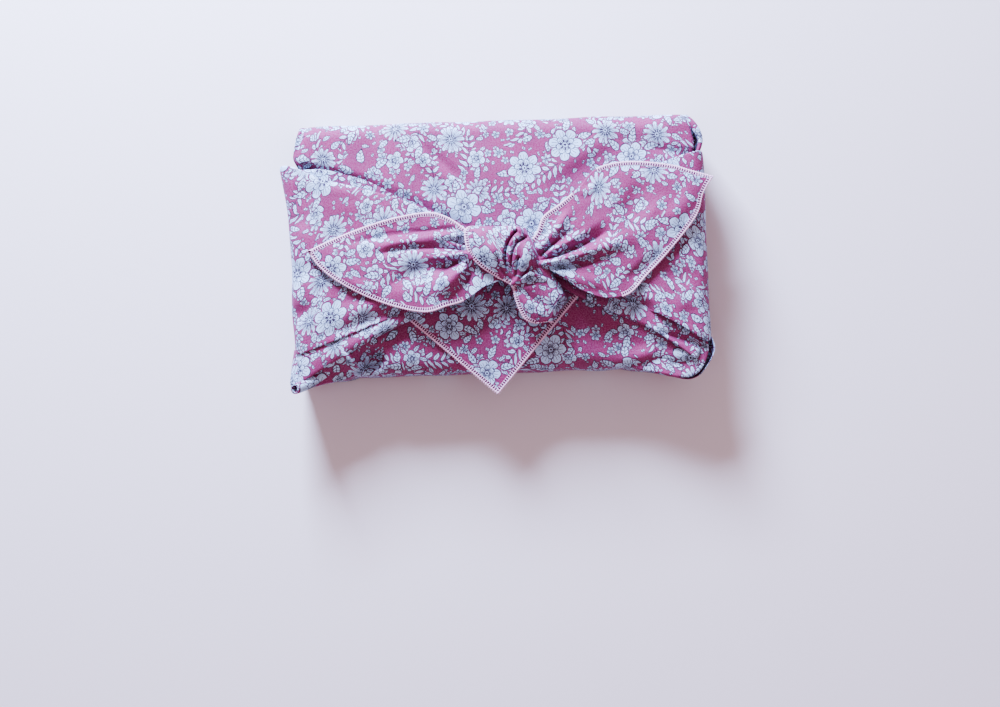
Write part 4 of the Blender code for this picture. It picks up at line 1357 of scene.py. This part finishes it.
def lay_hem(context, name, shape, hem):
    """Bind a free edge with overlock: a soft wrapped edge, the loops that cross it and a bed of
    painted shade under them.
    """
    frames = hem_frames(shape, hem)
    loop_mesh = thread_loop()
    bm = bmesh.new()
    # the wrapped edge takes the thread's finish, and the bed under the loops takes the painted
    # shade
    for number, section in enumerate((HEM_SECTION, HEM_SHADE_BED)):
        for vert, (i, j) in add_grid(bm, len(frames) - 1, len(section) - 1).items():
            place, way, face, _ahead = frames[i]
            inward, off = section[j]
            vert.co = place + way * inward * MM + face * off * MM
            for bound in vert.link_faces:
                bound.material_index = number
    for place, way, face, ahead in frames:
        for loop in STITCH_LOOPS:
            centre = place + way * loop.inward * MM + face * loop.off * MM
            reach = way * loop.across * MM + face * loop.up * MM + ahead * loop.along * MM
            along = reach.normalized()
            up = face - along * face.dot(along)
            up = up.normalized() if up.length > LEAST_UP else way
            turn = Matrix((along, up.cross(along), up)).transposed().to_4x4()
            size = Matrix.Diagonal((reach.length, loop.wide * MM, loop.high * MM, 1.0))
            place_loop = Matrix.Translation(centre) @ turn @ size
            loop_mesh.transform(place_loop)
            bm.from_mesh(loop_mesh)
            loop_mesh.transform(place_loop.inverted())
    bpy.data.meshes.remove(loop_mesh)
    piece = finished(context, name, bm, "polyester_overlock", "painted_shade_under_stitches")
    dress(piece)
    return piece


# ---------------------------------------------------------------------- add-on


class FuroshikiCloth(bpy.types.PropertyGroup):
    """Sizes and colours of the cloth."""

    thickness: bpy.props.FloatProperty(
        name="Cloth thickness", description="Thickness of the thin cotton",
        default=0.00045, unit="LENGTH", precision=5)
    ground: bpy.props.StringProperty(
        name="Ground", description="Lit colour of the printed ground", default="#B4487F")
    ground_dark: bpy.props.StringProperty(
        name="Ground, deeper", description="Deeper tone of the ground", default="#8E3368")
    flower: bpy.props.StringProperty(
        name="Flower", description="Pale blue of the flowers", default="#D4EEFF")
    flower_shade: bpy.props.StringProperty(
        name="Flower, shaded", description="Cooler tone of the flowers", default="#BFDFFF")
    ink: bpy.props.StringProperty(
        name="Line", description="Thin drawn lines of the print", default="#2C1640")
    bloom: bpy.props.StringProperty(
        name="Fibre bloom", description="Pale cotton fibres that show through the print",
        default="#EFDDEE")
    thread: bpy.props.StringProperty(
        name="Overlock thread", description="Lit colour of the thread", default="#F6DEEC")
    thread_dark: bpy.props.StringProperty(
        name="Overlock thread, deeper", description="Deeper tone of the thread",
        default="#E2B4D4")
    # painted shade: the colour that stands for the shade between the overlock threads
    gap_shade_colour: bpy.props.StringProperty(
        name="Between threads", description="Cloth between the overlock threads",
        default="#632F54")
    glow: bpy.props.FloatProperty(
        name="Light let through", description="Share of the light that the cloth lets through",
        default=0.16, subtype="FACTOR")


FINISHES = {"printed_cotton_lawn": printed_lawn, "polyester_overlock": overlock_thread,
            "painted_shade_under_stitches": painted_gap_shade}


def finish_for(context, name):
    """Give back one of the cloth's finishes, made the first time it is asked for."""
    return bpy.data.materials.get(name) or FINISHES[name](context.scene.furoshiki_cloth)


class FUROSHIKI_OT_sleeve(bpy.types.Operator):
    """Lay the sleeve that goes round the long way, with its hemmed near flap"""

    bl_idname = "furoshiki.sleeve"
    bl_label = "Sleeve"

    def execute(self, context):
        lay_cloth(context, "sleeve", sleeve, (170, SLEEVE_ROWS), (0.0, 0.0), FLAP_HEMS)
        return {"FINISHED"}


class FUROSHIKI_OT_gathered_ends(bpy.types.Operator):
    """Lay the two ends that rise over the short sides to the knot"""

    bl_idname = "furoshiki.gathered_ends"
    bl_label = "Gathered ends"

    def execute(self, context):
        lay_cloth(context, "left_gathered_end", left_end, (180, 150), (0.9, 0.3))
        lay_cloth(context, "right_gathered_end", right_end, (180, 150), (0.2, 0.9))
        return {"FINISHED"}


class FUROSHIKI_OT_free_corners(bpy.types.Operator):
    """Lay the two free corners that leave the knot"""

    bl_idname = "furoshiki.free_corners"
    bl_label = "Free corners"

    def execute(self, context):
        lay_cloth(context, "left_tail", left_tail, (120, 80), (0.5, 0.6), LEFT_TAIL_HEMS)
        lay_cloth(context, "right_tail", right_tail, (130, 90), (1.3, 0.2), RIGHT_TAIL_HEMS)
        return {"FINISHED"}


class FUROSHIKI_OT_knot(bpy.types.Operator):
    """Lay the stretch that goes over the knot and its turned edge"""

    bl_idname = "furoshiki.knot"
    bl_label = "Knot"

    def execute(self, context):
        lay_cloth(context, "knot_wrap", knot_wrap, (170, 90), (1.137, 1.174), KNOT_HEMS,
                  seen=True)
        lay_cloth(context, "knot_facing", knot_facing, (40, 12), (0.7, 1.6))
        return {"FINISHED"}


class FUROSHIKI_OT_corner_folds(bpy.types.Operator):
    """Lay the pointed folds, the rolled tip and the layers at the box corners"""

    bl_idname = "furoshiki.corner_folds"
    bl_label = "Corner folds"

    def execute(self, context):
        lay_cloth(context, "left_corner_fold", left_ear, (70, 40), (0.3, 1.4))
        lay_cloth(context, "left_rolled_tip", rolled_tip, (24, 90), (0.1, 1.7))
        lay_cloth(context, "right_corner_fold", right_ear, (70, 40), (1.6, 1.4))
        lay_cloth(context, "right_corner_layer", right_cap, (60, 40), (1.9, 1.0))
        lay_cloth(context, "right_mouth_fold", right_mouth, (60, 40), (0.4, 1.9))
        return {"FINISHED"}


FLOOR = 3.0                  # half the floor's side, in metres, as are the lamps' sizes
ROOM_LIGHT, EXPOSURE = 0.34, 0.35
LAMP_AIM = Vector((0.0, 0.0, 0.04))
DISTANCE = 0.9               # from the camera to the sleeve's top, in metres
ELEVATION, ROLL = math.radians(82.0), math.radians(2.0)   # the photo looks down and leans
LENS, SENSOR = 49.85, 36.0   # in millimetres
SHIFT_X, SHIFT_Y = 0.004, -0.1035    # where the wrap lies in the picture

Lamp = namedtuple("Lamp", "name place size power tint")

LAMPS = table(Lamp,
    ("window", (-0.34, 1.03, 0.64), 0.44, 41.0, "#CAD9FF"),
    ("fill", (0.25, -0.35, 1.3), 1.2, 1.8, "#FFEFF4"),
)


class FUROSHIKI_OT_stage(bpy.types.Operator):
    """Set the floor, the soft light and the camera"""

    bl_idname = "furoshiki.stage"
    bl_label = "Stage"

    def execute(self, context):
        scene = context.scene
        mesh = bpy.data.meshes.new("floor")
        bm = bmesh.new()
        bmesh.ops.create_grid(bm, x_segments=1, y_segments=1, size=FLOOR)
        bm.to_mesh(mesh)
        bm.free()
        floor = bpy.data.objects.new("floor", mesh)
        scene.collection.objects.link(floor)
        mesh.materials.append(plain_floor())

        world = bpy.data.worlds.new("soft_room")
        world.use_nodes = True
        tree = world.node_tree
        tree.nodes.clear()
        back = put(tree, "Background", {"Color": colour("#FFDCEA"), "Strength": ROOM_LIGHT})
        put(tree, "OutputWorld", back)
        scene.world = world
        scene.view_settings.view_transform = "AgX"
        scene.view_settings.look = "AgX - High Contrast"
        scene.view_settings.exposure = EXPOSURE

        for lamp in LAMPS:
            light = bpy.data.lights.new(lamp.name, "AREA")
            light.energy = lamp.power
            light.size = lamp.size
            light.color = colour(lamp.tint)[:3]
            placed_lamp = bpy.data.objects.new(lamp.name, light)
            placed_lamp.location = lamp.place
            aim = LAMP_AIM - placed_lamp.location
            placed_lamp.rotation_euler = aim.to_track_quat("-Z", "Y").to_euler()
            scene.collection.objects.link(placed_lamp)

        camera = bpy.data.cameras.new("camera")
        view = bpy.data.objects.new("camera", camera)
        scene.collection.objects.link(view)
        back_way = Vector((0.0, -math.cos(ELEVATION), math.sin(ELEVATION)))
        view.location = placed((0.0, 0.0, HEIGHT)) + back_way * DISTANCE
        turn = (-back_way).to_track_quat("-Z", "Y") @ Quaternion((0, 0, 1), -ROLL)
        view.rotation_euler = turn.to_euler()
        camera.sensor_width = SENSOR
        camera.lens = LENS
        camera.shift_x = SHIFT_X
        camera.shift_y = SHIFT_Y
        scene.camera = view
        return {"FINISHED"}


class FUROSHIKI_PT_panel(bpy.types.Panel):
    """Sizes, colours and steps of the wrap"""

    bl_idname = "FUROSHIKI_PT_panel"
    bl_label = "Furoshiki wrap"
    bl_space_type = "VIEW_3D"
    bl_region_type = "UI"
    bl_category = "Furoshiki"

    def draw(self, context):
        layout = self.layout
        sizes = context.scene.furoshiki_cloth
        for name in FuroshikiCloth.__annotations__:
            layout.prop(sizes, name)
        for operator in OPERATORS:
            layout.operator(operator.bl_idname)


OPERATORS = (
    FUROSHIKI_OT_stage, FUROSHIKI_OT_sleeve, FUROSHIKI_OT_gathered_ends,
    FUROSHIKI_OT_free_corners, FUROSHIKI_OT_knot, FUROSHIKI_OT_corner_folds)
CLASSES = (FuroshikiCloth, *OPERATORS, FUROSHIKI_PT_panel)


def register():
    for cls in CLASSES:
        bpy.utils.register_class(cls)
    bpy.types.Scene.furoshiki_cloth = bpy.props.PointerProperty(type=FuroshikiCloth)


def unregister():
    del bpy.types.Scene.furoshiki_cloth
    for cls in reversed(CLASSES):
        bpy.utils.unregister_class(cls)


def main():
    register()
    bpy.ops.furoshiki.stage()
    bpy.ops.furoshiki.sleeve()
    bpy.ops.furoshiki.gathered_ends()
    bpy.ops.furoshiki.free_corners()
    bpy.ops.furoshiki.knot()
    bpy.ops.furoshiki.corner_folds()


if __name__ == "__main__":
    main()
